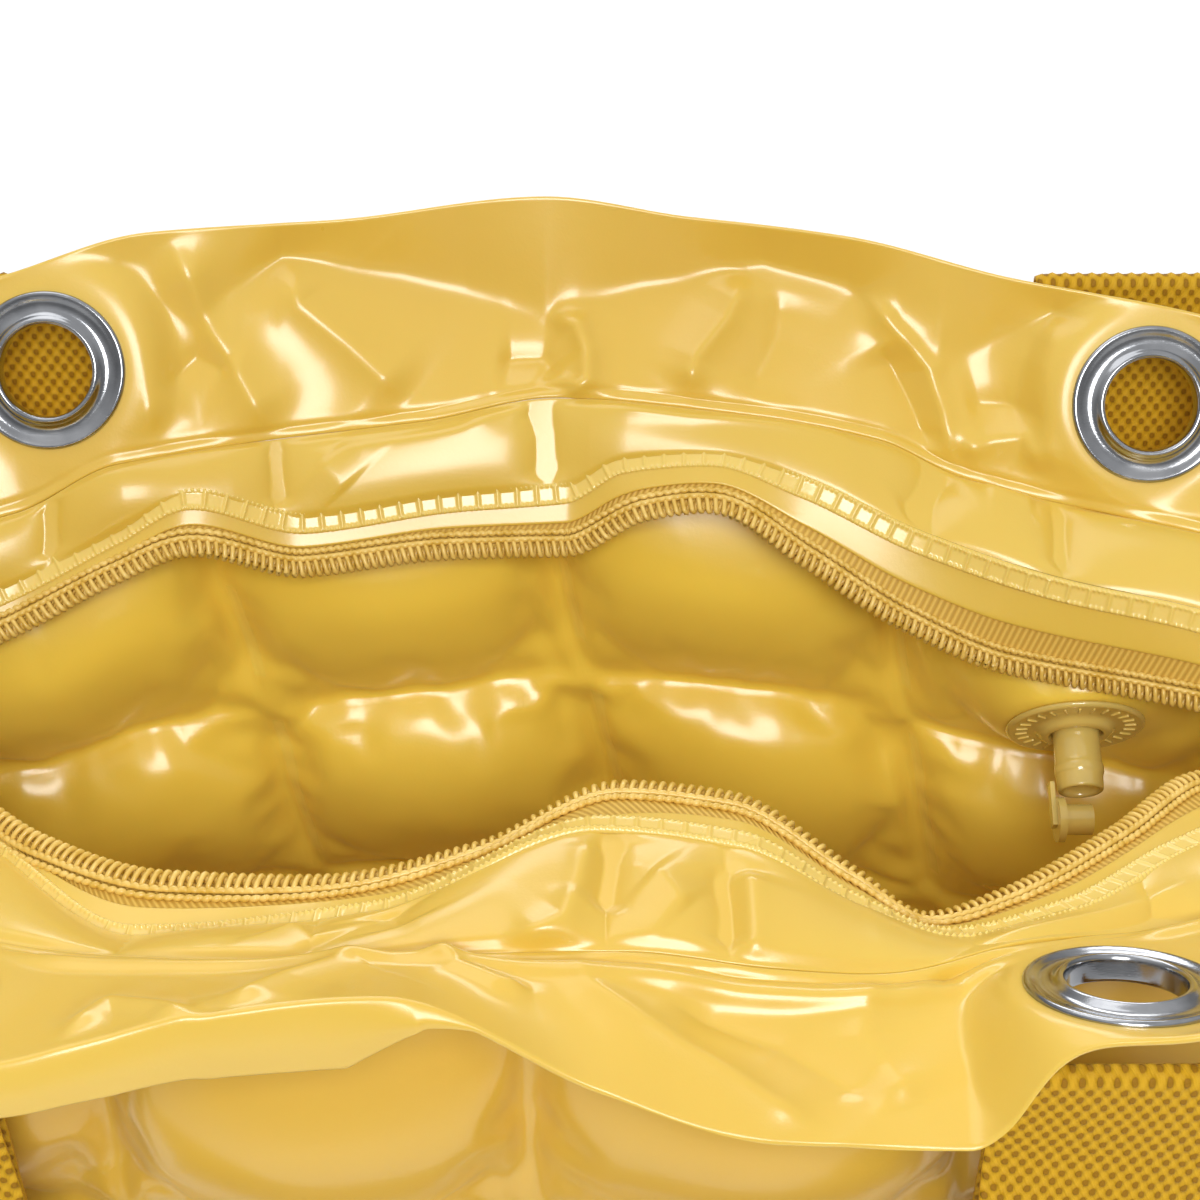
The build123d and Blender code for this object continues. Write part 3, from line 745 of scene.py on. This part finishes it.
def bump_free(surface, centres, height):
    """0 on the flat rings round the eyelets and 1 away from them."""
    free = np.ones(surface.shape[:2])
    rows = np.linspace(0, 1, surface.shape[0])[:, None]
    for centre in centres:
        away = np.hypot(surface[..., 0] - centre, (rows - EYELET_HEIGHT) * height[None, :])
        free = free * smoothstep(0.0165, 0.027, away)
    return free


def eyelet_axes(weld_mm, edge_mm, x):
    """Centre and axes of the eyelet's plane on the rim."""
    low, high = follow(weld_mm, x)[0], follow(edge_mm, x)[0]
    low[0] = high[0] = x
    across = np.array([1.0, 0, 0])
    up = unit(high - low)
    out = np.cross(across, up)
    if out[2] < 0:
        out = -out
    return low + (high - low) * EYELET_HEIGHT, (across, np.cross(out, across), out)


def seat_eyelets(surface, seats):
    """Presses the film flat onto each eyelet's plane, and marks the points inside its hole."""
    hole = np.zeros(surface.shape[:2], bool)
    for origin, (across, up, out) in seats:
        away = surface - origin
        distance = np.hypot(away @ across, away @ up)
        flat = 1 - smoothstep(*EYELET_FLAT, distance)
        surface = surface - out * ((away @ out) * flat)[..., None]
        hole |= distance < EYELET_CUT_R
    return surface, hole


def build_rims():
    """Film collars above the walls, with the dents and creases of loose soft film."""
    specs = (
        ("back", BACK_WELD_MM, BACK_EDGE_MM, BACK_EYELETS, BACK_RIM_FOLDS),
        ("front", FRONT_WELD_MM, FRONT_EDGE_MM, FRONT_EYELETS, FRONT_RIM_FOLDS),
    )
    for name, weld_mm, edge_mm, eyelets, folds in specs:
        columns, rows = 561, 61
        u = np.linspace(-1, 1, columns)
        shares = np.linspace(0, 1, rows)
        at_weld = u * (RIM_HALF_WIDTH + 0.002)
        surface = band_grid(weld_mm, edge_mm, at_weld, u * RIM_HALF_WIDTH, shares)
        height = np.linalg.norm(surface[-1] - surface[0], axis=-1)
        x, v = surface[..., 0], np.broadcast_to(shares[:, None], surface.shape[:2])
        lift = np.zeros_like(x)
        if name == "back":
            shelf = np.array(BACK_SHELF, float)
            fold_at = np.interp(x, shelf[:, 0] * MM, shelf[:, 1])
            depth = np.interp(x, shelf[:, 0] * MM, shelf[:, 2]) * MM
            lower, upper = v / fold_at, (1 - v) / (1 - fold_at)
            dent = -np.log(np.exp(-9 * lower) + np.exp(-9 * upper)) / 9
            lift -= depth * np.maximum(dent, 0)
        lift = 1.3 * add_folds(lift, x, v * 0.045, 0.045, folds)
        lift += 0.00014 * np.sin(x * 640 + 3 * np.sin(v * 7 + x * 60)) * np.exp(-v / 0.10)
        groove = np.exp(-((v * height[None, :] - 0.0022) / 0.0007) ** 2)
        lift -= 0.0007 * groove
        if name == "front":
            lift += 0.0017 * np.exp(-((v * height[None, :] - 0.0052) / 0.0020) ** 2)
        lift *= bump_free(surface, eyelets, height) * smoothstep(0, 0.06, v)
        side_fade = smoothstep(RIM_HALF_WIDTH, RIM_HALF_WIDTH - 0.02, np.abs(x))
        outward = grid_normals(surface)
        if name == "front":
            outward = outward * np.sign(outward[..., 2:3])
        surface = surface + outward * (lift * side_fade)[..., None]
        seats = [eyelet_axes(weld_mm, edge_mm, place) for place in eyelets]
        surface, hole = seat_eyelets(surface, seats)
        if name == "front":
            margin = hanging_margin(surface[-1])
            surface = np.concatenate([surface, margin])
            hole = np.concatenate([hole, np.zeros(margin.shape[:2], bool)])
        rim = film(f"{name}_rim_film", surface, RIM_FILM, materials["film"], hole)
        keep(rim, "film", f"{name}_rim")


def hanging_margin(edge):
    """Rows of film that turn over the front rim's fold and hang from it."""
    hang = np.array(FRONT_HANG, float) * MM
    drop = np.interp(edge[:, 0], hang[:, 0], hang[:, 1])
    rows = []
    for t in np.linspace(0.08, 1, 12):
        out = 0.0022 * np.sin(min(t * 2.2, np.pi / 2)) * np.minimum(1, drop / 0.004)
        row = edge.copy()
        row[:, 1] -= out + 0.0003 * np.sin(edge[:, 0] * 130) * t
        row[:, 2] -= drop * t ** 1.1
        rows.append(row)
    return np.array(rows)


# ---- zip strips and their ladder welds ----
BACK_SEAMS = (-204, -159, -120, -72, -11, 72, 100, 150, 204)
FRONT_SEAMS = (-204, -155, -120, -84, -50, 1, 22, 66, 100, 150, 204)
BACK_STRIP_FOLDS = [
    ([(-16, -0.02), (-13, 0.4), (-12, 0.9)], 2.2, -2.0),
    ([(-72, 0.0), (-71, 0.5), (-70, 0.85)], 1.6, -1.6),
    ([(-120, 0.02), (-120, 0.85)], 1.6, -1.6),
    ([(79, 0.02), (72, 0.45), (66, 0.85)], 2.4, -2.2),
    ([(102, 0.02), (99, 0.85)], 1.8, -1.6),
    ([(-20, 0.1), (-32, 0.18), (-60, 0.2)], 2.0, 1.3),
    ([(-66, 0.14), (-50, 0.16), (-24, 0.1)], 1.4, -0.9),
    ([(-4, 0.1), (20, 0.26), (60, 0.16)], 2.4, 1.4),
    ([(-62, 0.3), (-56, 0.7)], 5, 0.9),
    ([(84, 0.1), (96, 0.14)], 2.0, 1.2),
]
FRONT_STRIP_FOLDS = [
    ([(0, 0.98), (-2, 0.78), (-4, 0.41), (-6, 0.18), (-16, -0.06)], 3.6, 2.8),
    ([(2, 0.96), (2, 0.6), (0, 0.25)], 3.0, -2.6),
    ([(9, 0.6), (15, 0.3)], 4.0, 1.4),
    ([(20, 0.75), (22, 0.4), (22, 0.05)], 3.6, -2.4),
    ([(26, 0.75), (26, 0.02)], 3.6, 2.6),
    ([(-37, 0.8), (-34, 0.35)], 4.0, -1.8),
    ([(-55, 0.6), (-48, 0.2)], 5.0, 1.8),
    ([(66, 0.3), (88, 0.45), (112, 0.4)], 4.0, 1.4),
    ([(58, 0.05), (80, 0.1), (110, 0.06)], 3.0, -1.6),
]


def strip_surface(weld_mm, ladder_mm, chain_mm, folds, seams, bow, lip):
    """Loose film from the wall's top weld to the ladder weld, and on to its lip over the tape."""
    columns = 801
    x = np.linspace(-1, 1, columns) * STRIP_HALF_WIDTH
    shares = np.linspace(0, 1, 45)
    surface = band_grid(weld_mm, ladder_mm, x * 1.03, x, shares)
    outward = grid_normals(surface)
    outward = outward * np.sign(outward[..., 2:3])
    px, v = surface[..., 0], np.broadcast_to(shares[:, None], surface.shape[:2])
    height = np.linalg.norm(surface[-1] - surface[0], axis=-1)
    swell = (v ** 0.55) * (1 - v) ** 0.8 * 1.9
    lift = bow * swell * np.abs(between_seams(px, seams)) ** 0.55 * np.minimum(1, height / 0.018)
    typical = float(np.median(height))
    lift = add_folds(lift, px, v * typical, typical, folds)
    lift *= smoothstep(0, 0.10, v) * (1 - smoothstep(0.86, 1, v))
    lift = np.maximum(lift * np.minimum(1, height / 0.014), 0)
    surface = surface + outward * (lift + 0.0006 * v)[..., None]
    ladder, chain = surface[-1], follow(chain_mm, x)
    reach = lip(x)[:, None] if callable(lip) else lip
    over = [ladder + (chain - ladder) * reach * t for t in np.linspace(0.1, 1, 10)]
    return np.concatenate([surface, np.array(over)])


def ladder_weld(name, ladder_mm, chain_mm, level):
    """Embossed weld: two dotted rails and a row of rungs."""
    x, length = arc_samples(ladder_mm, -STRIP_HALF_WIDTH, STRIP_HALF_WIDTH, 0.00026)
    centre = follow(ladder_mm, x)
    across, up = path_axes(centre, follow(chain_mm, x))
    half = 0.0026
    q = np.linspace(-half, half, 21)
    place = np.linspace(0, length, len(x))
    rail = np.exp(-((np.abs(q) - 0.0020) / 0.00038) ** 2)
    dots = 0.50 + 0.50 * np.cos(place * math.tau / 0.00115)
    rung_pitch = 0.0044
    to_rung = np.abs((place / rung_pitch + 0.12 * np.sin(place * 31)) % 1 - 0.5) * rung_pitch
    rung = np.exp(-(to_rung / 0.00034) ** 2)
    inside = (np.abs(q) < 0.0020).astype(float)
    rails = rail[:, None] * dots[None, :] * 0.00072
    relief = np.maximum(rails, inside[:, None] * rung[None, :] * 0.00066)
    relief *= 0.75 + 0.25 * np.sin(place * 47)[None, :]
    relief -= 0.0006 * smoothstep(0.0023, 0.0026, np.abs(q))[:, None]
    surface = centre[None] + across[None] * q[:, None, None]
    surface = surface + up[None] * (level + relief)[..., None]
    piece = sandwich(name, surface, surface - up[None] * 0.0009, materials["weld"])
    keep(piece, "film")
    return piece


def tape_uv(surface):
    """UVs in metres: across the band, then along it."""
    across = run_length(surface[:, 0])
    along = run_length(surface[0])
    return np.stack(np.broadcast_arrays(across[:, None], along[None, :]), -1)


def front_lip(x):
    """The front lip of film leaves the twill tape bare beside the hump in the middle."""
    return 0.50 - 0.42 * np.exp(-((x + 0.012) / 0.020) ** 2)


def build_strips():
    specs = (
        ("back", BACK_WELD_MM, BACK_LADDER_MM, BACK_CHAIN_MM, BACK_STRIP_FOLDS, BACK_SEAMS,
         0.0046, 0.55),
        ("front", FRONT_WELD_MM, FRONT_LADDER_MM, FRONT_CHAIN_MM, FRONT_STRIP_FOLDS, FRONT_SEAMS,
         0.0034, front_lip),
    )
    for name, weld_mm, ladder_mm, chain_mm, folds, seams, bow, lip in specs:
        surface = strip_surface(weld_mm, ladder_mm, chain_mm, folds, seams, bow, lip)
        strip = film(f"{name}_strip_film", surface, STRIP_FILM, materials["film"])
        keep(strip, "film", f"{name}_zip_strip")
        ladder = ladder_weld(f"{name}_ladder_weld", ladder_mm, chain_mm, 0.0011)
        x = np.linspace(ZIP_LEFT, ZIP_RIGHT, 900)
        tape_surface = band_grid(ladder_mm, chain_mm, x, x, np.linspace(0, 1, 17))
        tape = sandwich(f"{name}_tape_cloth", tape_surface, tape_surface - [0, 0, TAPE_CLOTH],
                        materials["tape"], tape_uv(tape_surface))
        keep(tape, "zip_tape", f"{name}_zip_tape")
        build_teeth(name, ladder_mm, chain_mm)


# ---- coil teeth and their stitched cords ----
def tube_mesh(name, path, radius, material, sides=7):
    """Tube round a dense path. radius may be a number or one per point."""
    tangent = unit(np.gradient(path, axis=0))
    side = unit(np.cross(tangent, np.array([0.0, 0.0, 1.0])))
    other = np.cross(side, tangent)
    angle = np.arange(sides) / sides * math.tau
    radius = np.broadcast_to(np.asarray(radius, float), (len(path),))[:, None, None]
    ring = side[:, None] * np.cos(angle)[None, :, None]
    ring = ring + other[:, None] * np.sin(angle)[None, :, None]
    quads, index, _ = ring_faces(len(path), sides)
    ends = [index[0, ::-1].tolist(), index[-1].tolist()]
    return make_object(name, path[:, None] + ring * radius, quads.tolist() + ends, material)


def build_teeth(name, ladder_mm, chain_mm):
    """A coil and its two stitched cords. The front teeth stand between the back ones."""
    x, length = arc_samples(chain_mm, ZIP_LEFT, ZIP_RIGHT, TOOTH_PITCH / 16)
    centre = follow(chain_mm, x)
    across, up = path_axes(centre, follow(ladder_mm, x))
    place = np.linspace(0, length, len(x)) + (0.5 * TOOTH_PITCH if name == "front" else 0.0)
    angle = place / TOOTH_PITCH * math.tau
    head = np.where(np.cos(angle) < 0, 1.12, 1.0)
    coil = centre + across * (0.00005 + 0.00150 * np.cos(angle) * head)[:, None]
    coil += up * (0.00035 + 0.00082 * np.sin(angle))[:, None]
    wire = COIL_WIRE_R * (1 + 0.18 * (np.cos(angle) < -0.5))
    teeth = tube_mesh(f"{name}_coil", coil, wire, materials["teeth"])
    keep(teeth, "zip_teeth", f"{name}_zip_chain")
    for row, offset in enumerate((0.0021, 0.0036)):
        beads = np.abs(np.sin((place / TOOTH_PITCH + 0.25 * row) * math.pi))
        cord = centre + across * (offset + 0.00012 * np.cos(angle))[:, None]
        cord += up * (0.00075 - 0.00025 * row)
        thick = 0.00046 + 0.00024 * beads
        stitched = tube_mesh(f"{name}_cord_{row + 1}", cord, thick, materials["teeth"])
        keep(stitched, "zip_tape")


# ---- round pieces ----
def lathe(name, profile_mm, origin, axes, material, segments=96):
    """Turned piece from (radius, height) millimetre points, round the third axis."""
    profile = np.array(profile_mm, float) * MM
    right, up, out = (np.array(a, float) for a in axes)
    angle = np.arange(segments) / segments * math.tau
    around = np.cos(angle)[:, None] * right + np.sin(angle)[:, None] * up
    points = np.array(origin) + profile[:, None, :1] * around[None] + profile[:, None, 1:] * out
    quads, index, after = ring_faces(len(profile), segments)
    closing = np.stack([index[-1], after[-1], after[0], index[0]], -1)
    return make_object(name, points, np.concatenate([quads, closing]), material)


def rounded(profile):
    """A closed profile with its corners cut twice."""
    points = np.array(profile, float)
    for _ in range(2):
        after = np.roll(points, -1, axis=0)
        cut = np.stack([0.75 * points + 0.25 * after, 0.25 * points + 0.75 * after], 1)
        points = cut.reshape(-1, 2)
    return points


EYELET_PROFILE = rounded([
    (17, 0.1), (17.2, 0.9), (16.6, 1.5), (15.7, 1.3), (14.6, 0.8), (13.2, 0.75), (12.2, 1.15),
    (11.5, 1.9), (10.9, 2.25), (10.3, 2.05), (10.0, 1.2), (9.95, -2.2), (10.25, -2.6), (10.5, -2.2),
    (10.5, 0.2), (12.5, 0.25), (15, 0.35), (16.2, 0.6), (16.5, 0.1),
])
WASHER_PROFILE = rounded([
    (15, -1.6), (15.1, -2.4), (14.4, -2.9), (12.6, -2.6), (11.4, -3), (10.7, -2.9), (10.6, -2.2),
    (11.4, -1.9), (13.5, -1.7), (14.6, -1.5),
])


def build_eyelets():
    for name, weld_mm, edge_mm, places in (
        ("back", BACK_WELD_MM, BACK_EDGE_MM, BACK_EYELETS),
        ("front", FRONT_WELD_MM, FRONT_EDGE_MM, FRONT_EYELETS),
    ):
        for hand, x in zip(("left", "right"), places):
            origin, axes = eyelet_axes(weld_mm, edge_mm, x)
            for part, profile, slot, node in (
                ("eyelet_ring", EYELET_PROFILE, "eyelets", "eyelet"),
                ("backing_ring", WASHER_PROFILE, "washers", "eyelet_washer"),
            ):
                ring = lathe(f"{name}_{hand}_{part}", profile, origin, axes, materials["nickel"])
                keep(ring, slot, f"{name}_{hand}_{node}")


# ---- valve ----
FLANGE_PROFILE = rounded([
    (15.4, 0.05), (15.5, 0.7), (14.9, 1.35), (14, 1.15), (9.4, 1.05), (8.4, 1.6), (7.8, 2.7),
    (6.6, 3), (5.75, 2.7), (5.7, -8), (7.3, -8.4), (7.4, -0.1), (14.5, 0),
])
STEM_PROFILE = rounded([
    (5.2, -1.6), (5.2, 9.5), (5.5, 10.3), (5.5, 11.8), (5.2, 12.4), (5.1, 15.2), (4.9, 15.9),
    (4, 15.9), (3.65, 15.2), (3.65, -1.5), (4.3, -1.9),
])


VALVE_RIBS = 26


def valve_point(x, y, z):
    """Millimetres in the valve's own axes to metres in the bag's."""
    axes = np.array(VALVE_AXES)
    return np.array(VALVE_CENTRE) + MM * (x * axes[0] + y * axes[1] + z * axes[2])


def build_valve():
    flange = lathe("valve_disc", FLANGE_PROFILE, VALVE_CENTRE, VALVE_AXES, materials["clear"])
    keep(flange, "valve", "valve_flange")
    stem = lathe("valve_mouthpiece", STEM_PROFILE, VALVE_CENTRE, VALVE_AXES, materials["clear"])
    keep(stem, "valve", "valve_stem", body="stem")
    for number in range(VALVE_RIBS):
        angle = number / VALVE_RIBS * math.tau
        start, end = (valve_point(reach * math.cos(angle), reach * math.sin(angle), level)
                      for reach, level in ((10.8, 1.15), (13.4, 1.25)))
        rib = tube_mesh(f"valve_rib_{number + 1:02d}", np.linspace(start, end, 6), 0.00028,
                        materials["weld"], sides=6)
        keep(rib, "valve")


# ---- webbing ----
def handle_point(half_span, t):
    """Sideways place and drop of the loop's middle line, for t from -1 to 1."""
    corner = 0.45
    along = abs(t)
    if along > corner:
        s = (1 - along) / (1 - corner)
        x = half_span - 0.26 * half_span * s * s
        drop = s * (HANDLE_DROP - 0.74 * half_span)
    else:
        angle = math.pi / 2 * (along / corner)
        x = 0.74 * half_span * math.sin(angle)
        drop = HANDLE_DROP - 0.74 * half_span * (1 - math.cos(angle))
    return math.copysign(x, t), drop


def loop_station(middle, half_span, fold, outward, t):
    """Centre and width direction of the hanging loop at t from -1 to 1."""
    x, drop = handle_point(half_span, t)
    ahead = handle_point(half_span, min(1.0, t + 0.01))
    behind = handle_point(half_span, max(-1.0, t - 0.01))
    run = unit(np.array([ahead[0] - behind[0], 0, behind[1] - ahead[1]]))
    flat = max(0.0, min(1.0, (abs(t) - 0.5) / 0.42))
    turn = flat * flat * (3 - 2 * flat) * math.pi / 2
    in_loop = np.cross(run, (0, 1, 0)) * (1 if t < 0 else -1)
    wide = np.array([0.0, 1, 0]) * math.cos(turn) + in_loop * math.sin(turn)
    out = HANDLE_LAP + (WEBBING_WIDTH / 2 + 0.0005) * math.cos(turn)
    return np.array([middle + x, fold[0] + outward * out, fold[1] - 0.0005 - drop]), wide


def strap_stations(middle, half_span, fold, foot, outward):
    """Centre and width direction along the whole strap: left leg, fold, loop, fold, right leg."""
    stations = []
    along_x = np.array([1.0, 0, 0])

    def leg(side, upwards):
        x = middle + side * half_span
        for t in np.linspace(0, 1, 40) if upwards else np.linspace(1, 0, 40):
            y = foot[0] + (fold[0] - outward * HANDLE_LAP - foot[0]) * t
            stations.append((np.array([x, y, foot[1] + (fold[1] - 0.0005 - foot[1]) * t]), along_x))

    def bend(side, outwards):
        x = middle + side * half_span
        for angle in np.linspace(0, math.pi, 14)[1:-1]:
            swing = -math.cos(angle) if outwards else math.cos(angle)
            y = fold[0] + outward * HANDLE_LAP * swing
            z = fold[1] - 0.0005 + HANDLE_LAP * math.sin(angle)
            stations.append((np.array([x, y, z]), along_x))

    leg(-1, True)
    bend(-1, True)
    for t in np.linspace(-1, 1, 241):
        stations.append(loop_station(middle, half_span, fold, outward, t))
    bend(1, False)
    leg(1, False)
    return np.array([s[0] for s in stations]), np.array([s[1] for s in stations])


def build_strap(name, middle, half_span, fold, foot, outward):
    centre, wide = strap_stations(middle, half_span, fold, foot, outward)
    length = run_length(centre)
    step = WEAVE_ALONG / 4
    place = np.arange(0, length[-1], step)
    centre = at_length(centre, length, place)
    wide = unit(at_length(wide, length, place))
    along = unit(np.gradient(centre, axis=0))
    wide = unit(wide - along * (wide * along).sum(-1, keepdims=True))
    thin = np.cross(along, wide)
    columns = int(WEBBING_WIDTH / (WEAVE_ACROSS / 4)) | 1
    q = np.linspace(-0.5, 0.5, columns)
    i, j = np.meshgrid(np.arange(columns), np.arange(len(place)))
    weave = np.sin(i * math.pi / 2) * np.sin(j * math.pi / 2)
    edge = 1 - smoothstep(0.470, 0.5, np.abs(q))[None, :] * 0.65
    rise = 0.00030 * weave * (np.abs(q) < 0.485)[None, :]
    base = centre[:, None] + wide[:, None] * (q * WEBBING_WIDTH)[None, :, None]
    half = (WEBBING_THICK / 2 - 0.00015) * edge
    top = base + thin[:, None] * (half + rise)[..., None]
    bottom = base - thin[:, None] * (half - rise)[..., None]
    uv = np.stack([i * WEAVE_ACROSS / 4, j * step], -1)
    strap = sandwich(f"{name}_strap", top, bottom, materials["webbing"], uv)
    keep(strap, "webbing", f"{name}_handle", f"{name}_handle_anchors", body=None)
    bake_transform(strap)


def build_handles():
    build_strap("back", 0.0, BACK_HANDLE_X, BACK_FOLD, BACK_FOOT, 1)
    build_strap("front", FRONT_HANDLE_CENTRE, FRONT_HANDLE_X, FRONT_FOLD, FRONT_FOOT, -1)


# ---- build ----
def keep(piece, slot, *nodes, body="bag"):
    """Says what a finished piece rides on and the nodes it stands for; slot, its finish, is not
    used.
    """
    if body:
        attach(piece, body)
    if nodes:
        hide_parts(*nodes)


def finish_cad(node, material):
    """Gives a carried-over CAD node its material."""
    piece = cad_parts[node]
    piece.data.materials.clear()
    piece.data.materials.append(materials[material])
    piece.data.polygons.foreach_set("material_index", np.zeros(len(piece.data.polygons), np.int32))


cell_face = quilt()
build_walls(cell_face)
build_base(cell_face)
build_side_seams()
build_rims()
build_strips()
build_eyelets()
build_valve()
build_handles()
for finish, node_names in (
    ("enamel", ("zip_slider", "zip_pull", "zip_top_stop", "zip_bottom_stop")),
    ("weld", ("left_zip_end_tab", "right_zip_end_tab")),
    ("clear", ("valve_flap", "valve_plug", "valve_tether")),
):
    for node_name in node_names:
        finish_cad(node_name, finish)


# ---- stage, light and camera ----
def area_light(name, place, aim, size, power):
    data = bpy.data.lights.new(name, "AREA")
    data.shape = "RECTANGLE"
    data.size, data.size_y = size
    data.energy = power
    light = bpy.data.objects.new(name, data)
    bpy.context.scene.collection.objects.link(light)
    light.location = place
    light.rotation_euler = (Vector(aim) - Vector(place)).to_track_quat("-Z", "Y").to_euler()


def build_stage():
    corners = np.array([(-4, -4, 0), (4, -4, 0), (4, 4, 0), (-4, 4, 0)], float)
    white = new_material("floor", (0.95, 0.95, 0.95), 0.9)
    floor = make_object("floor", corners, [(0, 1, 2, 3)], white, smooth=False)
    world = bpy.data.worlds.new("studio")
    bpy.context.scene.world = world
    world.use_nodes = True
    n = Nodes(world, "Background")
    split = n.add("ShaderNodeSeparateXYZ")
    n.link(n.add("ShaderNodeTexCoord").outputs["Generated"], split.inputs[0])
    n.colour(split.outputs["Z"], (0.0, (0.32, 0.32, 0.32)), (0.22, (0.26, 0.26, 0.26)),
             (0.75, (0.70, 0.70, 0.70)), socket="Color")
    seen = n.add("ShaderNodeLightPath")
    plain = n.add("ShaderNodeBackground")
    plain.inputs["Color"].default_value = (0.97, 0.97, 0.97, 1)
    mix = n.add("ShaderNodeMixShader")
    n.link(seen.outputs["Is Camera Ray"], mix.inputs["Fac"])
    n.link(n.shader.outputs["Background"], mix.inputs[1])
    n.link(plain.outputs["Background"], mix.inputs[2])
    n.link(mix.outputs["Shader"], n.tree.nodes["World Output"].inputs["Surface"])
    area_light("overhead", (-0.35, 0.35, 1.5), (0, 0, 0.25), (0.9, 0.8), 3.0)
    area_light("floor_wash", (0, 1.35, 1.2), (0, 1.05, 0), (1.2, 0.6), 9)
    area_light("mouth_fill", (0.05, -0.72, 0.84), (0, 0.05, 0.20), (0.35, 0.35), 5)


def build_camera():
    data = bpy.data.cameras.new("camera")
    data.lens, data.sensor_width = 66.42, 36
    data.clip_start = 0.01
    camera = bpy.data.objects.new("camera", data)
    camera.location = (0, -0.359, 0.556)
    camera.rotation_euler = (math.radians(55), 0, 0)
    bpy.context.scene.collection.objects.link(camera)
    bpy.context.scene.camera = camera


build_stage()
build_camera()
bpy.context.scene.view_settings.view_transform = "Standard"
